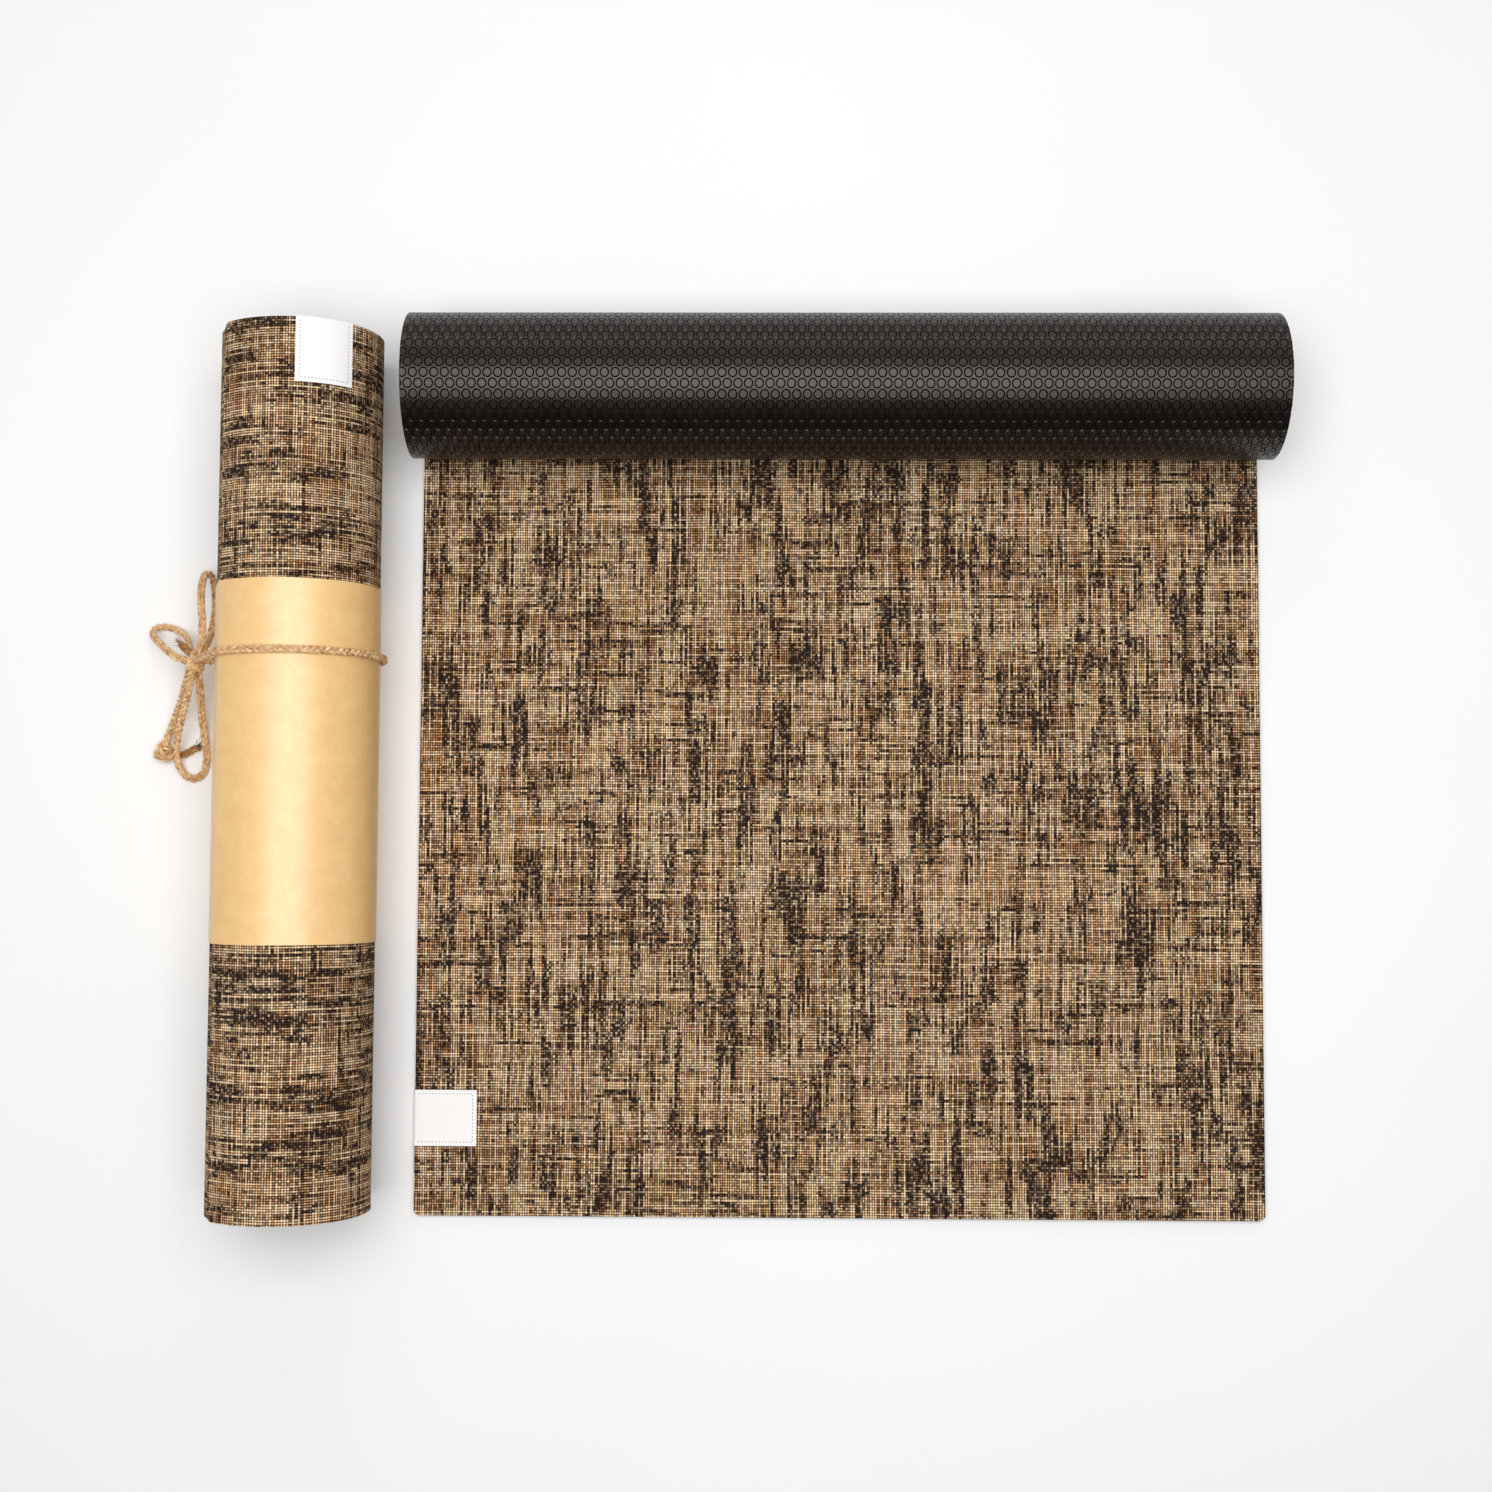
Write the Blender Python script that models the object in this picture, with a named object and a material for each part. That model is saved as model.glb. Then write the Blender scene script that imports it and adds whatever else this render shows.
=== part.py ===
# A yoga mat of woven jute on dimpled foam, twice: one mat partly unrolled, and beside
# it one rolled up in a kraft sleeve with a cord tied round it in a bow.
# Metres, +Z up, +Y from the open mat's near edge to its roll, +X across the mat.
# Each sheet is made flat, as a grid of run along the mat, place across it and height
# in its thickness, and one function then winds those three numbers into a spiral.

from math import acos, atan2, cos, pi, radians, sin, sqrt, tau

import bmesh
import bpy
from mathutils import Matrix, Vector

# The mat
MAT_LENGTH = 1.830
MAT_WIDTH = 0.610
MAT_CORNER = 0.0045
FOAM = 0.0034
JUTE = 0.0010
GAP = 0.0003

# The open mat: how much lies flat, and the radius of what is still rolled
FLAT_LENGTH = 0.590
OPEN_RADIUS = 0.0537

# The rolled mat: its outer radius, its place beside the open one and its free edge
ROLLED_RADIUS = 0.0593
ROLLED_ASIDE = 0.07775
ROLLED_SETBACK = 0.0127
FREE_EDGE = radians(-46)

# The cloth labels
LABEL_ACROSS = 0.045
LABEL_ALONG = 0.040
LABEL_CLOTH = 0.0006
OPEN_LABEL_SETBACK = 0.0495
ROLLED_LABEL_SETBACK = 0.0575

# The kraft sleeve
SLEEVE_LENGTH = 0.2466
SLEEVE_SETBACK = 0.1853
CARD = 0.0004
SLEEVE_EASE = 0.0004

# The cord, its bow and its knots
CORD = 0.005
PRESSED_CORD = 0.0026
TIE_SETBACK = 0.198
KNOT_TURN = radians(259.4)
KNOT_STANDOFF = 0.0207
KNOT_RADIUS = 0.0072
BOW_REACH = 0.0825
END_KNOT_RADIUS = 0.0064

# The bow's routes: across and along as shares of the reach from the knot, and height
# as a share of the knot's
upper_loop_shares = (
    (0.032, 0.056, 1.065),
    (0.065, 0.182, 1.109),
    (0.054, 0.339, 1.040),
    (0.017, 0.509, 0.888),
    (-0.012, 0.661, 0.691),
    (-0.027, 0.764, 0.470),
    (-0.024, 0.810, 0.242),
    (-0.012, 0.764, 0.056),
    (0.000, 0.642, 0.002),
    (0.009, 0.491, 0.056),
    (0.024, 0.333, 0.260),
    (0.036, 0.188, 0.574),
    (0.019, 0.051, 0.902),
)
left_loop_shares = (
    (-0.071, -0.011, 1.037),
    (-0.194, 0.034, 0.888),
    (-0.297, 0.097, 0.714),
    (-0.394, 0.167, 0.516),
    (-0.479, 0.236, 0.330),
    (-0.519, 0.303, 0.156),
    (-0.467, 0.347, 0.028),
    (-0.358, 0.330, 0.005),
    (-0.249, 0.269, 0.121),
    (-0.158, 0.184, 0.423),
    (-0.091, 0.103, 0.726),
    (-0.037, 0.040, 0.912),
)
lower_loop_shares = (
    (-0.014, -0.068, 1.060),
    (-0.061, -0.218, 0.923),
    (-0.124, -0.352, 0.714),
    (-0.192, -0.473, 0.505),
    (-0.252, -0.612, 0.307),
    (-0.289, -0.752, 0.172),
    (-0.283, -0.875, 0.084),
    (-0.231, -0.972, 0.019),
    (-0.146, -1.001, 0.002),
    (-0.072, -0.948, 0.002),
    (-0.045, -0.830, 0.002),
    (-0.054, -0.679, 0.047),
    (-0.060, -0.533, 0.156),
    (-0.045, -0.388, 0.365),
    (-0.012, -0.218, 0.679),
    (0.007, -0.065, 0.926),
)
tail_shares = (
    (-0.054, -0.052, 0.949),
    (-0.141, -0.206, 0.679),
    (-0.218, -0.347, 0.435),
    (-0.301, -0.479, 0.219),
    (-0.371, -0.611, 0.093),
    (-0.405, -0.721, 0.095),
)
stub_shares = (
    (-0.364, -0.785, 0.042),
    (-0.303, -0.796, 0.002),
    (-0.243, -0.785, 0.002),
    (-0.182, -0.754, 0.002),
    (-0.129, -0.722, 0.002),
)
cut_end_shares = (
    (-0.037, 0.048, 1.072),
    (-0.136, 0.141, 1.023),
)
end_knot_shares = (-0.412, -0.770, 0.105)
knot_squash_shares = (0.95, 1.05, 1.0)
end_knot_squash_shares = (1.05, 1.05, 0.95)
bow_wrap_axis_shares = (0.35, 1.0, 0.25)
end_wrap_axis_shares = (1.0, -0.5, 0.2)
wrap_inset_share = 0.6
end_inset_share = 0.8
weld_share = 0.001

# Finishes: sRGB colour, roughness
JUTE_WEAVE = ("jute_weave", (0.55, 0.45, 0.35), 0.9)
DIMPLED_FOAM = ("dimpled_foam", (0.16, 0.145, 0.14), 0.45)
LABEL_COTTON = ("label_cotton", (0.97, 0.95, 0.93), 0.8)
KRAFT_CARD = ("kraft_card", (0.93, 0.80, 0.58), 0.6)
JUTE_CORD = ("jute_cord", (0.80, 0.64, 0.44), 0.85)
SCREEN_GAMMA = 2.2

# How finely the round shapes are drawn
TURN_STEPS = 36
CORNER_STEPS = 4
LABEL_STEPS = 8
CORD_SIDES = 2
CORD_STEP = 2.3 * CORD
CURVE_STEPS = 12
SOLVE_STEPS = 12
KNOT_SIDES = 14
WRAP_STEPS = 20
WRAP_SIDES = 10
SHARP_EDGE = radians(35)
SELF_STEPS = 6

# Derived sizes
JUTE_LOW = FOAM + GAP
JUTE_HIGH = JUTE_LOW + JUTE
WRAP_PITCH = JUTE_HIGH + GAP
STEP = tau / TURN_STEPS
ROLLED_AXIS = -(MAT_WIDTH / 2 + ROLLED_ASIDE)
ROLLED_MIDDLE = ROLLED_SETBACK + MAT_WIDTH / 2
SLEEVE_NEAR = ROLLED_SETBACK + SLEEVE_SETBACK
TIE_PLACE = SLEEVE_NEAR + TIE_SETBACK
CORD_RADIUS = CORD / 2


def cleared_scene():
    """Empties the scene and gives the collections for the pieces and for the cutters."""
    for old in list(bpy.data.objects):
        bpy.data.objects.remove(old, do_unlink=True)
    kept = bpy.data.collections.new("yoga_mat")
    cutters = bpy.data.collections.new("cutters")
    cutters.hide_render = True
    for collection in (kept, cutters):
        bpy.context.scene.collection.children.link(collection)
    return kept, cutters


PIECES, CUTTERS = cleared_scene()


# Spirals: how a wound sheet turns as it runs inward


def run_at(radius, angle):
    """How far the sheet has run when a spiral from this radius has turned so far."""
    return radius * angle - WRAP_PITCH * angle**2 / (2 * tau)


def angle_at(radius, run):
    """How far a spiral from this radius has turned when the sheet has run so far."""
    root = sqrt(radius**2 - WRAP_PITCH * run / pi)
    return (radius - root) * tau / WRAP_PITCH


def radius_at(radius, angle):
    """Where the outside of the wrap stands at this turn of the spiral."""
    return radius - WRAP_PITCH * angle / tau


def open_place(run, across, height):
    """A point of the open mat: flat at first, then up, over and round, foam outward."""
    if run <= FLAT_LENGTH:
        return Vector((across, run, height))
    angle = angle_at(OPEN_RADIUS, run - FLAT_LENGTH)
    out = radius_at(OPEN_RADIUS, angle) - height
    along = FLAT_LENGTH + out * sin(angle)
    return Vector((across, along, OPEN_RADIUS - out * cos(angle)))


def rolled_surface(angle):
    """The rolled mat's outside at this turn from its free edge, within one turn."""
    return radius_at(ROLLED_RADIUS, angle)


def bridge_turn():
    """How far before the free edge a tight sleeve leaves the wrap below it."""
    turn = 0.0
    for _ in range(SOLVE_STEPS):
        turn = acos(rolled_surface(tau - turn) / ROLLED_RADIUS)
    return turn


BRIDGE = bridge_turn()


def hugging_radius(angle):
    """The outline that a tight band draws round the roll and straight over its step."""
    angle = angle % tau
    left = tau - BRIDGE
    if angle <= left:
        return rolled_surface(angle)
    return rolled_surface(left) / cos(angle - left)


SLEEVE_OUT = SLEEVE_EASE + CARD
LOW_TURN = pi - FREE_EDGE
ROLLED_HEIGHT = hugging_radius(LOW_TURN) + SLEEVE_OUT + GAP + PRESSED_CORD


def rolled_place(run, across, height):
    """A point of the rolled mat: round and inward from its free edge, jute outward."""
    angle = angle_at(ROLLED_RADIUS, run)
    out = radius_at(ROLLED_RADIUS, angle) - (JUTE_HIGH - height)
    return round_axis(out, angle, ROLLED_MIDDLE - across)


def round_axis(out, angle, along):
    """A point this far from the rolled mat's axis, at this turn from the free edge."""
    turn = FREE_EDGE + angle
    return Vector((ROLLED_AXIS + out * sin(turn), along, ROLLED_HEIGHT + out * cos(turn)))


def knot_place():
    """The middle of the bow's knot, which stands off the sleeve's side."""
    out = hugging_radius(KNOT_TURN - FREE_EDGE) + SLEEVE_OUT + KNOT_STANDOFF
    return round_axis(out, KNOT_TURN - FREE_EDGE, TIE_PLACE)


KNOT = knot_place()
FLOOR_HEIGHT = CORD_RADIUS + GAP


def bow_point(shares):
    """A point of the bow from its shares of the reach and of the knot's height."""
    across, along, height = shares
    rise = FLOOR_HEIGHT + (KNOT.z - FLOOR_HEIGHT) * height
    return Vector((KNOT.x + BOW_REACH * across, KNOT.y + BOW_REACH * along, rise))


END_KNOT = bow_point(end_knot_shares)


# Objects: bodies, pieces and finishes


def finish(kind):
    """The material of this name, made once."""
    name, colour, roughness = kind
    made = bpy.data.materials.get(name)
    if made:
        return made
    made = bpy.data.materials.new(name)
    made.use_nodes = True
    shader = made.node_tree.nodes["Principled BSDF"]
    linear = [share**SCREEN_GAMMA for share in colour]
    shader.inputs["Base Color"].default_value = (*linear, 1.0)
    shader.inputs["Roughness"].default_value = roughness
    shader.inputs["Metallic"].default_value = 0.0
    made.diffuse_color = (*linear, 1.0)
    return made


def body(name, place, parent):
    """An empty that carries the pieces of one body; its world place is kept with it."""
    made = bpy.data.objects.new(name, None)
    made["place"] = place
    PIECES.objects.link(made)
    if parent:
        made.parent = parent
        made.location = place - Vector(parent["place"])
    return made


def mesh_object(name, mesh, collection):
    """An object of this mesh, smooth but for its sharp edges."""
    bmesh.ops.recalc_face_normals(mesh, faces=mesh.faces[:])
    if mesh.calc_volume(signed=True) < 0:
        bmesh.ops.reverse_faces(mesh, faces=mesh.faces[:])
    data = bpy.data.meshes.new(name)
    mesh.to_mesh(data)
    mesh.free()
    made = bpy.data.objects.new(name, data)
    collection.objects.link(made)
    data.shade_smooth()
    data.set_sharp_from_angle(angle=SHARP_EDGE)
    return made


def carry(made, owner, kind):
    """Gives a piece its finish, and hangs it on the body that carries it."""
    made.data.transform(Matrix.Translation(-Vector(owner["place"])))
    made.data.materials.append(finish(kind))
    made.parent = owner
    return made


# Sheets: flat grids that are thickened and then put in place


def lattice(rows, columns):
    """A flat grid at whole numbers: x counts the columns and y the rows."""
    mesh = bmesh.new()
    bmesh.ops.create_grid(mesh, x_segments=columns, y_segments=rows, size=1)
    for vert in mesh.verts:
        vert.co.x = round((vert.co.x + 1) / 2 * columns)
        vert.co.y = round((vert.co.y + 1) / 2 * rows)
    return mesh


def thicken(mesh):
    """Closes an open sheet into a slab whose other side lies at z = 1."""
    made = bmesh.ops.extrude_face_region(mesh, geom=mesh.faces[:])["geom"]
    for vert in made:
        if isinstance(vert, bmesh.types.BMVert):
            vert.co.z = 1
    return mesh


def put(mesh, place):
    """Moves each vertex from its column, row and side to its place."""
    for vert in mesh.verts:
        vert.co = place(round(vert.co.x), round(vert.co.y), round(vert.co.z))
    return mesh


def half_width(run):
    """Half the mat's width here, less where a corner is rounded."""
    inside = min(run, MAT_LENGTH - run)
    if inside >= MAT_CORNER:
        return MAT_WIDTH / 2
    short = MAT_CORNER - sqrt(MAT_CORNER**2 - (MAT_CORNER - inside) ** 2)
    return MAT_WIDTH / 2 - short


def corner_runs():
    """How far from the mat's end each row of a rounded corner lies."""
    quarter = pi / 2
    angles = [quarter * step / CORNER_STEPS for step in range(CORNER_STEPS + 1)]
    return [MAT_CORNER * (1 - cos(angle)) for angle in angles]


def wound_runs(radius, start):
    """Where the rows of a wound sheet lie: one each step of its turns, to its end."""
    turns = angle_at(radius, MAT_LENGTH - start)
    count = int(turns / STEP)
    ends = [MAT_LENGTH - run for run in reversed(corner_runs())]
    whole = [start + run_at(radius, STEP * step) for step in range(count + 1)]
    return [run for run in whole if run < ends[0] - MAT_CORNER] + ends


def sheet(name, runs, heights, place):
    """One layer of the mat between two runs, from its low to its high face."""
    mesh = thicken(lattice(len(runs) - 1, 1))

    def corner(column, row, side):
        across = half_width(runs[row]) * (2 * column - 1)
        return place(runs[row], across, heights[side])

    return mesh_object(name, put(mesh, corner), PIECES)


def label(name, setback, place):
    """A cloth label on the jute, folded down over the mat's edge."""
    mesh = thicken(lattice(LABEL_STEPS, 2))
    edge = -(MAT_WIDTH / 2 + GAP)
    low = JUTE_HIGH + GAP

    def corner(column, row, side):
        out = LABEL_CLOTH * side
        run = setback + LABEL_ALONG * row / LABEL_STEPS
        if column == 2:
            return place(run, edge + LABEL_ACROSS, low + out)
        return place(run, edge - out, (low + out) * column + GAP * (1 - column))

    return mesh_object(name, put(mesh, corner), PIECES)


def open_mat(owner, roller):
    """The open mat's two layers, each flat and then rolled, and its label."""
    flat = [*corner_runs(), FLAT_LENGTH - GAP]
    wound = wound_runs(OPEN_RADIUS, FLAT_LENGTH)
    foam, jute = (0.0, FOAM), (JUTE_LOW, JUTE_HIGH)
    carry(sheet("open_foam_flat", flat, foam, open_place), owner, DIMPLED_FOAM)
    carry(sheet("open_jute_flat", flat, jute, open_place), owner, JUTE_WEAVE)
    carry(sheet("open_foam_roll", wound, foam, open_place), roller, DIMPLED_FOAM)
    carry(sheet("open_jute_roll", wound, jute, open_place), roller, JUTE_WEAVE)
    carry(label("open_label", OPEN_LABEL_SETBACK, open_place), owner, LABEL_COTTON)


def rolled_mat(owner):
    """The rolled mat's two layers and its label."""
    near = corner_runs()
    wound = [run for run in wound_runs(ROLLED_RADIUS, 0.0) if run > 2 * MAT_CORNER]
    runs = near + wound
    foam, jute = (0.0, FOAM), (JUTE_LOW, JUTE_HIGH)
    carry(sheet("rolled_jute", runs, jute, rolled_place), owner, JUTE_WEAVE)
    carry(sheet("rolled_foam", runs, foam, rolled_place), owner, DIMPLED_FOAM)
    named = label("rolled_label", ROLLED_LABEL_SETBACK, rolled_place)
    carry(named, owner, LABEL_COTTON)


def sleeve(owner):
    """The card sleeve: a tube that hugs the roll and bridges the step at its edge."""
    mesh = bmesh.new()
    bmesh.ops.create_cone(
        mesh, cap_ends=False, segments=TURN_STEPS, radius1=1, radius2=1, depth=1
    )
    for vert in mesh.verts:
        turn = round(atan2(vert.co.x, vert.co.y) / STEP) % TURN_STEPS
        vert.co = (turn, vert.co.z > 0, 0)

    def corner(turn, far, side):
        angle = STEP * turn
        out = hugging_radius(angle) + SLEEVE_EASE + CARD * side
        return round_axis(out, angle, SLEEVE_NEAR + SLEEVE_LENGTH * far)

    made = mesh_object("paper_sleeve", put(thicken(mesh), corner), PIECES)
    carry(made, owner, KRAFT_CARD)


# Cords: tubes along smooth routes, trimmed where they enter a knot


def smooth_route(points):
    """Many points on a smooth curve through the route's own points."""
    first = 2 * points[0] - points[1]
    last = 2 * points[-1] - points[-2]
    padded = [first, *points, last]
    curve = []
    for before, here, there, after in zip(padded, padded[1:], padded[2:], padded[3:]):
        for step in range(CURVE_STEPS):
            t = step / CURVE_STEPS
            rise = (there - before) * t
            bend = (2 * before - 5 * here + 4 * there - after) * t**2
            twist = (3 * here - before - 3 * there + after) * t**3
            curve.append(here + (rise + bend + twist) / 2)
    return [*curve, points[-1]]


def even_points(curve, step):
    """Points at an even step along a curve, near the one asked for."""
    lengths = [(there - here).length for here, there in zip(curve, curve[1:])]
    count = max(2, round(sum(lengths) / step))
    even = sum(lengths) / count
    points, walked = [curve[0]], 0.0
    for here, there, length in zip(curve, curve[1:], lengths):
        while walked + length >= even * len(points) and len(points) < count:
            share = (even * len(points) - walked) / length
            points.append(here.lerp(there, share))
        walked += length
    return [*points, curve[-1]]


def tube(name, points):
    """A round cord of one closed surface along these points."""
    curve = bpy.data.curves.new(name, "CURVE")
    curve.dimensions = "3D"
    curve.bevel_depth = CORD_RADIUS
    curve.bevel_resolution = CORD_SIDES
    curve.use_fill_caps = True
    spline = curve.splines.new("POLY")
    spline.points.add(len(points) - 1)
    for point, place in zip(spline.points, points):
        point.co = (*place, 1.0)
    guide = bpy.data.objects.new(name + "_route", curve)
    data = bpy.data.meshes.new_from_object(guide)
    mesh = bmesh.new()
    mesh.from_mesh(data)
    bpy.data.objects.remove(guide)
    bpy.data.meshes.remove(data)
    bmesh.ops.remove_doubles(mesh, verts=mesh.verts[:], dist=CORD * weld_share)
    return mesh


def pressed(vert):
    """Moves a vertex of the band in, where the roll presses the cord on the floor."""
    offset = vert.co - round_axis(0.0, 0.0, vert.co.y)
    angle = atan2(offset.x, offset.z) - FREE_EDGE
    reach = hypotenuse(offset)
    surface = hugging_radius(angle) + SLEEVE_OUT + GAP
    if -offset.z * (surface + CORD) <= ROLLED_HEIGHT * reach:
        return
    share = (ROLLED_HEIGHT * reach / -offset.z - surface) / CORD
    out = surface + (reach - surface) * share
    widened = TIE_PLACE + (vert.co.y - TIE_PLACE) / sqrt(share)
    vert.co = round_axis(out, angle, widened)


def hypotenuse(offset):
    """The distance from the roll's axis, which runs along Y."""
    return sqrt(offset.x**2 + offset.z**2)


def wrap_mesh(centre, axis, radius, minor):
    """A ring of cord round a knot."""
    mesh = bmesh.new()
    bmesh.ops.create_circle(mesh, segments=WRAP_SIDES, radius=minor)
    turned = Matrix.Translation((radius, 0, 0)) @ Matrix.Rotation(pi / 2, 4, "X")
    bmesh.ops.transform(mesh, matrix=turned, verts=mesh.verts[:])
    bmesh.ops.spin(
        mesh,
        geom=mesh.verts[:] + mesh.edges[:],
        cent=(0, 0, 0),
        axis=(0, 0, 1),
        angle=tau,
        steps=WRAP_STEPS,
        use_merge=True,
    )
    bmesh.ops.remove_doubles(mesh, verts=mesh.verts[:], dist=CORD * weld_share)
    stood = Matrix.Translation(centre) @ axis.to_track_quat("Z", "Y").to_matrix().to_4x4()
    bmesh.ops.transform(mesh, matrix=stood, verts=mesh.verts[:])
    return mesh


def join_by(made, helper, operation):
    """A Boolean with a helper that isn't itself shown."""
    helper.hide_render = True
    helper.display_type = "WIRE"
    helper.parent = bpy.data.objects["row"]
    modifier = made.modifiers.new(helper.name, "BOOLEAN")
    modifier.operation = operation
    modifier.solver = "EXACT"
    modifier.object = helper


def knot(name, centre, squash, radius, axis, grow, collection):
    """A knot: a rounded lump with one wrap of the cord standing out round it."""
    lump = bmesh.new()
    size = radius + grow
    bmesh.ops.create_uvsphere(
        lump, u_segments=KNOT_SIDES, v_segments=KNOT_SIDES, radius=size
    )
    bmesh.ops.scale(lump, vec=squash, verts=lump.verts[:])
    bmesh.ops.translate(lump, vec=centre, verts=lump.verts[:])
    made = mesh_object(name, lump, collection)
    minor = CORD_RADIUS + grow
    ring = wrap_mesh(centre, axis, radius - CORD_RADIUS * wrap_inset_share, minor)
    join_by(made, mesh_object(name + "_wrap", ring, CUTTERS), "UNION")
    return made


def knots(owner):
    """The bow's knot and the stopper knot, and what each clears in the cords."""
    bow_axis = Vector(bow_wrap_axis_shares)
    end_axis = Vector(end_wrap_axis_shares)
    bow = (KNOT, knot_squash_shares, KNOT_RADIUS, bow_axis)
    end = (END_KNOT, end_knot_squash_shares, END_KNOT_RADIUS, end_axis)
    carry(knot("bow_knot", *bow, 0.0, PIECES), owner, JUTE_CORD)
    carry(knot("end_knot", *end, 0.0, PIECES), owner, JUTE_CORD)
    bow_room = knot("bow_knot_room", *bow, GAP, CUTTERS)
    end_room = knot("end_knot_room", *end, GAP, CUTTERS)
    return bow_room, end_room


def strand(name, shares, owner, rooms):
    """One free stretch of the cord, trimmed clear of the knots it meets."""
    route = smooth_route([bow_point(point) for point in shares])
    points = even_points(route, CORD_STEP)
    made = mesh_object(name, tube(name, points), PIECES)
    carry(made, owner, JUTE_CORD)
    for room in rooms:
        join_by(made, room, "DIFFERENCE")
    return points


def band(owner, room):
    """The cord round the sleeve: straight to the roll, round it and straight back."""
    lift = SLEEVE_OUT + GAP + CORD_RADIUS
    leave = pi - acos((hugging_radius(0.0) + lift) / (KNOT - axis_place()).length)
    last = round((KNOT_TURN - FREE_EDGE - pi + leave) / STEP)
    around = []
    for step in range(last + 1):
        angle = STEP * step
        around.append(round_axis(hugging_radius(angle) + lift, angle, TIE_PLACE))
    inset = KNOT_RADIUS * end_inset_share
    start = KNOT + (around[0] - KNOT).normalized() * inset
    end = KNOT + (around[-1] - KNOT).normalized() * inset
    points = [start, *around, end]
    mesh = tube("tie_band", points)
    for vert in mesh.verts:
        pressed(vert)
    made = mesh_object("tie_band", mesh, PIECES)
    carry(made, owner, JUTE_CORD)
    join_by(made, room, "DIFFERENCE")
    return points


def axis_place():
    """The rolled mat's axis where the cord goes round it."""
    return Vector((ROLLED_AXIS, TIE_PLACE, ROLLED_HEIGHT))


def print_gap(name, points):
    """Prints how near a cord comes to itself, face to face, in millimetres."""
    fine = even_points(points, CORD_RADIUS)
    near = []
    for index, here in enumerate(fine):
        for there in fine[index + SELF_STEPS :]:
            near.append((here - there).length - CORD)
    clear = f"{1000 * min(near):.2f} mm clear of itself" if near else "short"
    print(f"{name}: {len(points)} points, {clear}")


FREE_CORD = ("bow_", "end_", "cut_end")


def centre_row(row):
    """Moves the row so that the middle of its box stands over the origin, on z = 0."""
    bpy.context.view_layer.update()
    graph = bpy.context.evaluated_depsgraph_get()
    corners = []
    for piece in PIECES.objects:
        if piece.type == "MESH" and not piece.name.startswith(FREE_CORD):
            box = piece.evaluated_get(graph).bound_box
            corners += [piece.matrix_world @ Vector(corner) for corner in box]
    low = [min(corner[side] for corner in corners) for side in range(3)]
    high = [max(corner[side] for corner in corners) for side in range(3)]
    row.location = (-(low[0] + high[0]) / 2, -(low[1] + high[1]) / 2, -low[2])
    sizes = [1000 * (top - bottom) for bottom, top in zip(low, high)]
    print("row", [round(size, 1) for size in sizes], "mm, moved by", row.location)


def build():
    """Builds the bodies, hangs their pieces on them and stands the row on z = 0."""
    row = body("row", Vector((0, 0, 0)), None)
    mat = body("open_mat", Vector((0, 0, 0)), row)
    roll = body("open_roll", Vector((0, FLAT_LENGTH, OPEN_RADIUS)), mat)
    middle = Vector((ROLLED_AXIS, ROLLED_MIDDLE, ROLLED_HEIGHT))
    rolled = body("rolled_mat", middle, mat)
    sleeve_middle = SLEEVE_NEAR + SLEEVE_LENGTH / 2
    card = body("sleeve", Vector((ROLLED_AXIS, sleeve_middle, ROLLED_HEIGHT)), rolled)
    tie = body("tie", axis_place(), card)
    open_mat(mat, roll)
    rolled_mat(rolled)
    sleeve(card)
    bow_room, end_room = knots(tie)
    print_gap("tie_band", band(tie, bow_room))
    strands = (
        ("bow_loop_upper", upper_loop_shares, [bow_room]),
        ("bow_loop_left", left_loop_shares, [bow_room]),
        ("bow_loop_lower", lower_loop_shares, [bow_room]),
        ("bow_tail", tail_shares, [bow_room, end_room]),
        ("end_stub", stub_shares, [end_room]),
        ("cut_end", cut_end_shares, [bow_room]),
    )
    for name, shares, rooms in strands:
        print_gap(name, strand(name, shares, tie, rooms))
    centre_row(row)


build()
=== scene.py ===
# %% [markdown]
# # A jute yoga mat, one open and one rolled
# The row holds two mats of one kind: one lies partly open and shows its woven jute
# face, and one is rolled up in a kraft sleeve with a cord tied round it. The packed
# CAD model gives the places and the bodies; this lesson dresses it, piece by piece.

# %% Load the frame
from functools import partial
from math import acos, atan2, cos, pi, radians, sin, sqrt, tau
from random import Random

import bmesh
import bpy
from mathutils import Matrix, Vector, noise


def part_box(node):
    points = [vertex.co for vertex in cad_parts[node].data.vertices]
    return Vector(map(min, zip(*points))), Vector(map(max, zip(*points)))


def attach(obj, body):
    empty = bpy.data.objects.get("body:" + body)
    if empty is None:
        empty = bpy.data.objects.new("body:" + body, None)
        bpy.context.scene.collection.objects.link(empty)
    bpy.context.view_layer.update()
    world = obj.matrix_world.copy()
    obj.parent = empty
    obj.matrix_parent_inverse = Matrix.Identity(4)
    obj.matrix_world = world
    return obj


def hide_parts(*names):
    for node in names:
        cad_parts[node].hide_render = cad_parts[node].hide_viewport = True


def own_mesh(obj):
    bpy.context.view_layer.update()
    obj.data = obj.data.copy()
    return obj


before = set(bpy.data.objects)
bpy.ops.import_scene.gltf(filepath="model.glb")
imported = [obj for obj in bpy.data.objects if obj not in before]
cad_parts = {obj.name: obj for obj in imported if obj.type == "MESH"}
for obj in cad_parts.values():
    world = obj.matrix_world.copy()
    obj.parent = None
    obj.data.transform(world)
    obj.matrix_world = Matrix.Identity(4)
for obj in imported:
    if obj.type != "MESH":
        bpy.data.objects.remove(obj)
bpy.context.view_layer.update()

# %% [markdown]
# ## Sizes
# Every size is in metres and repeats the part's own source, so that each piece lies
# where its solid lies. A mat is 1830 x 610 mm: a millimetre of jute glued on 3.4 mm
# of foam. Lengths in the weave and in the dimples are real ones, read off the
# photograph against the mat's width.

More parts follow.
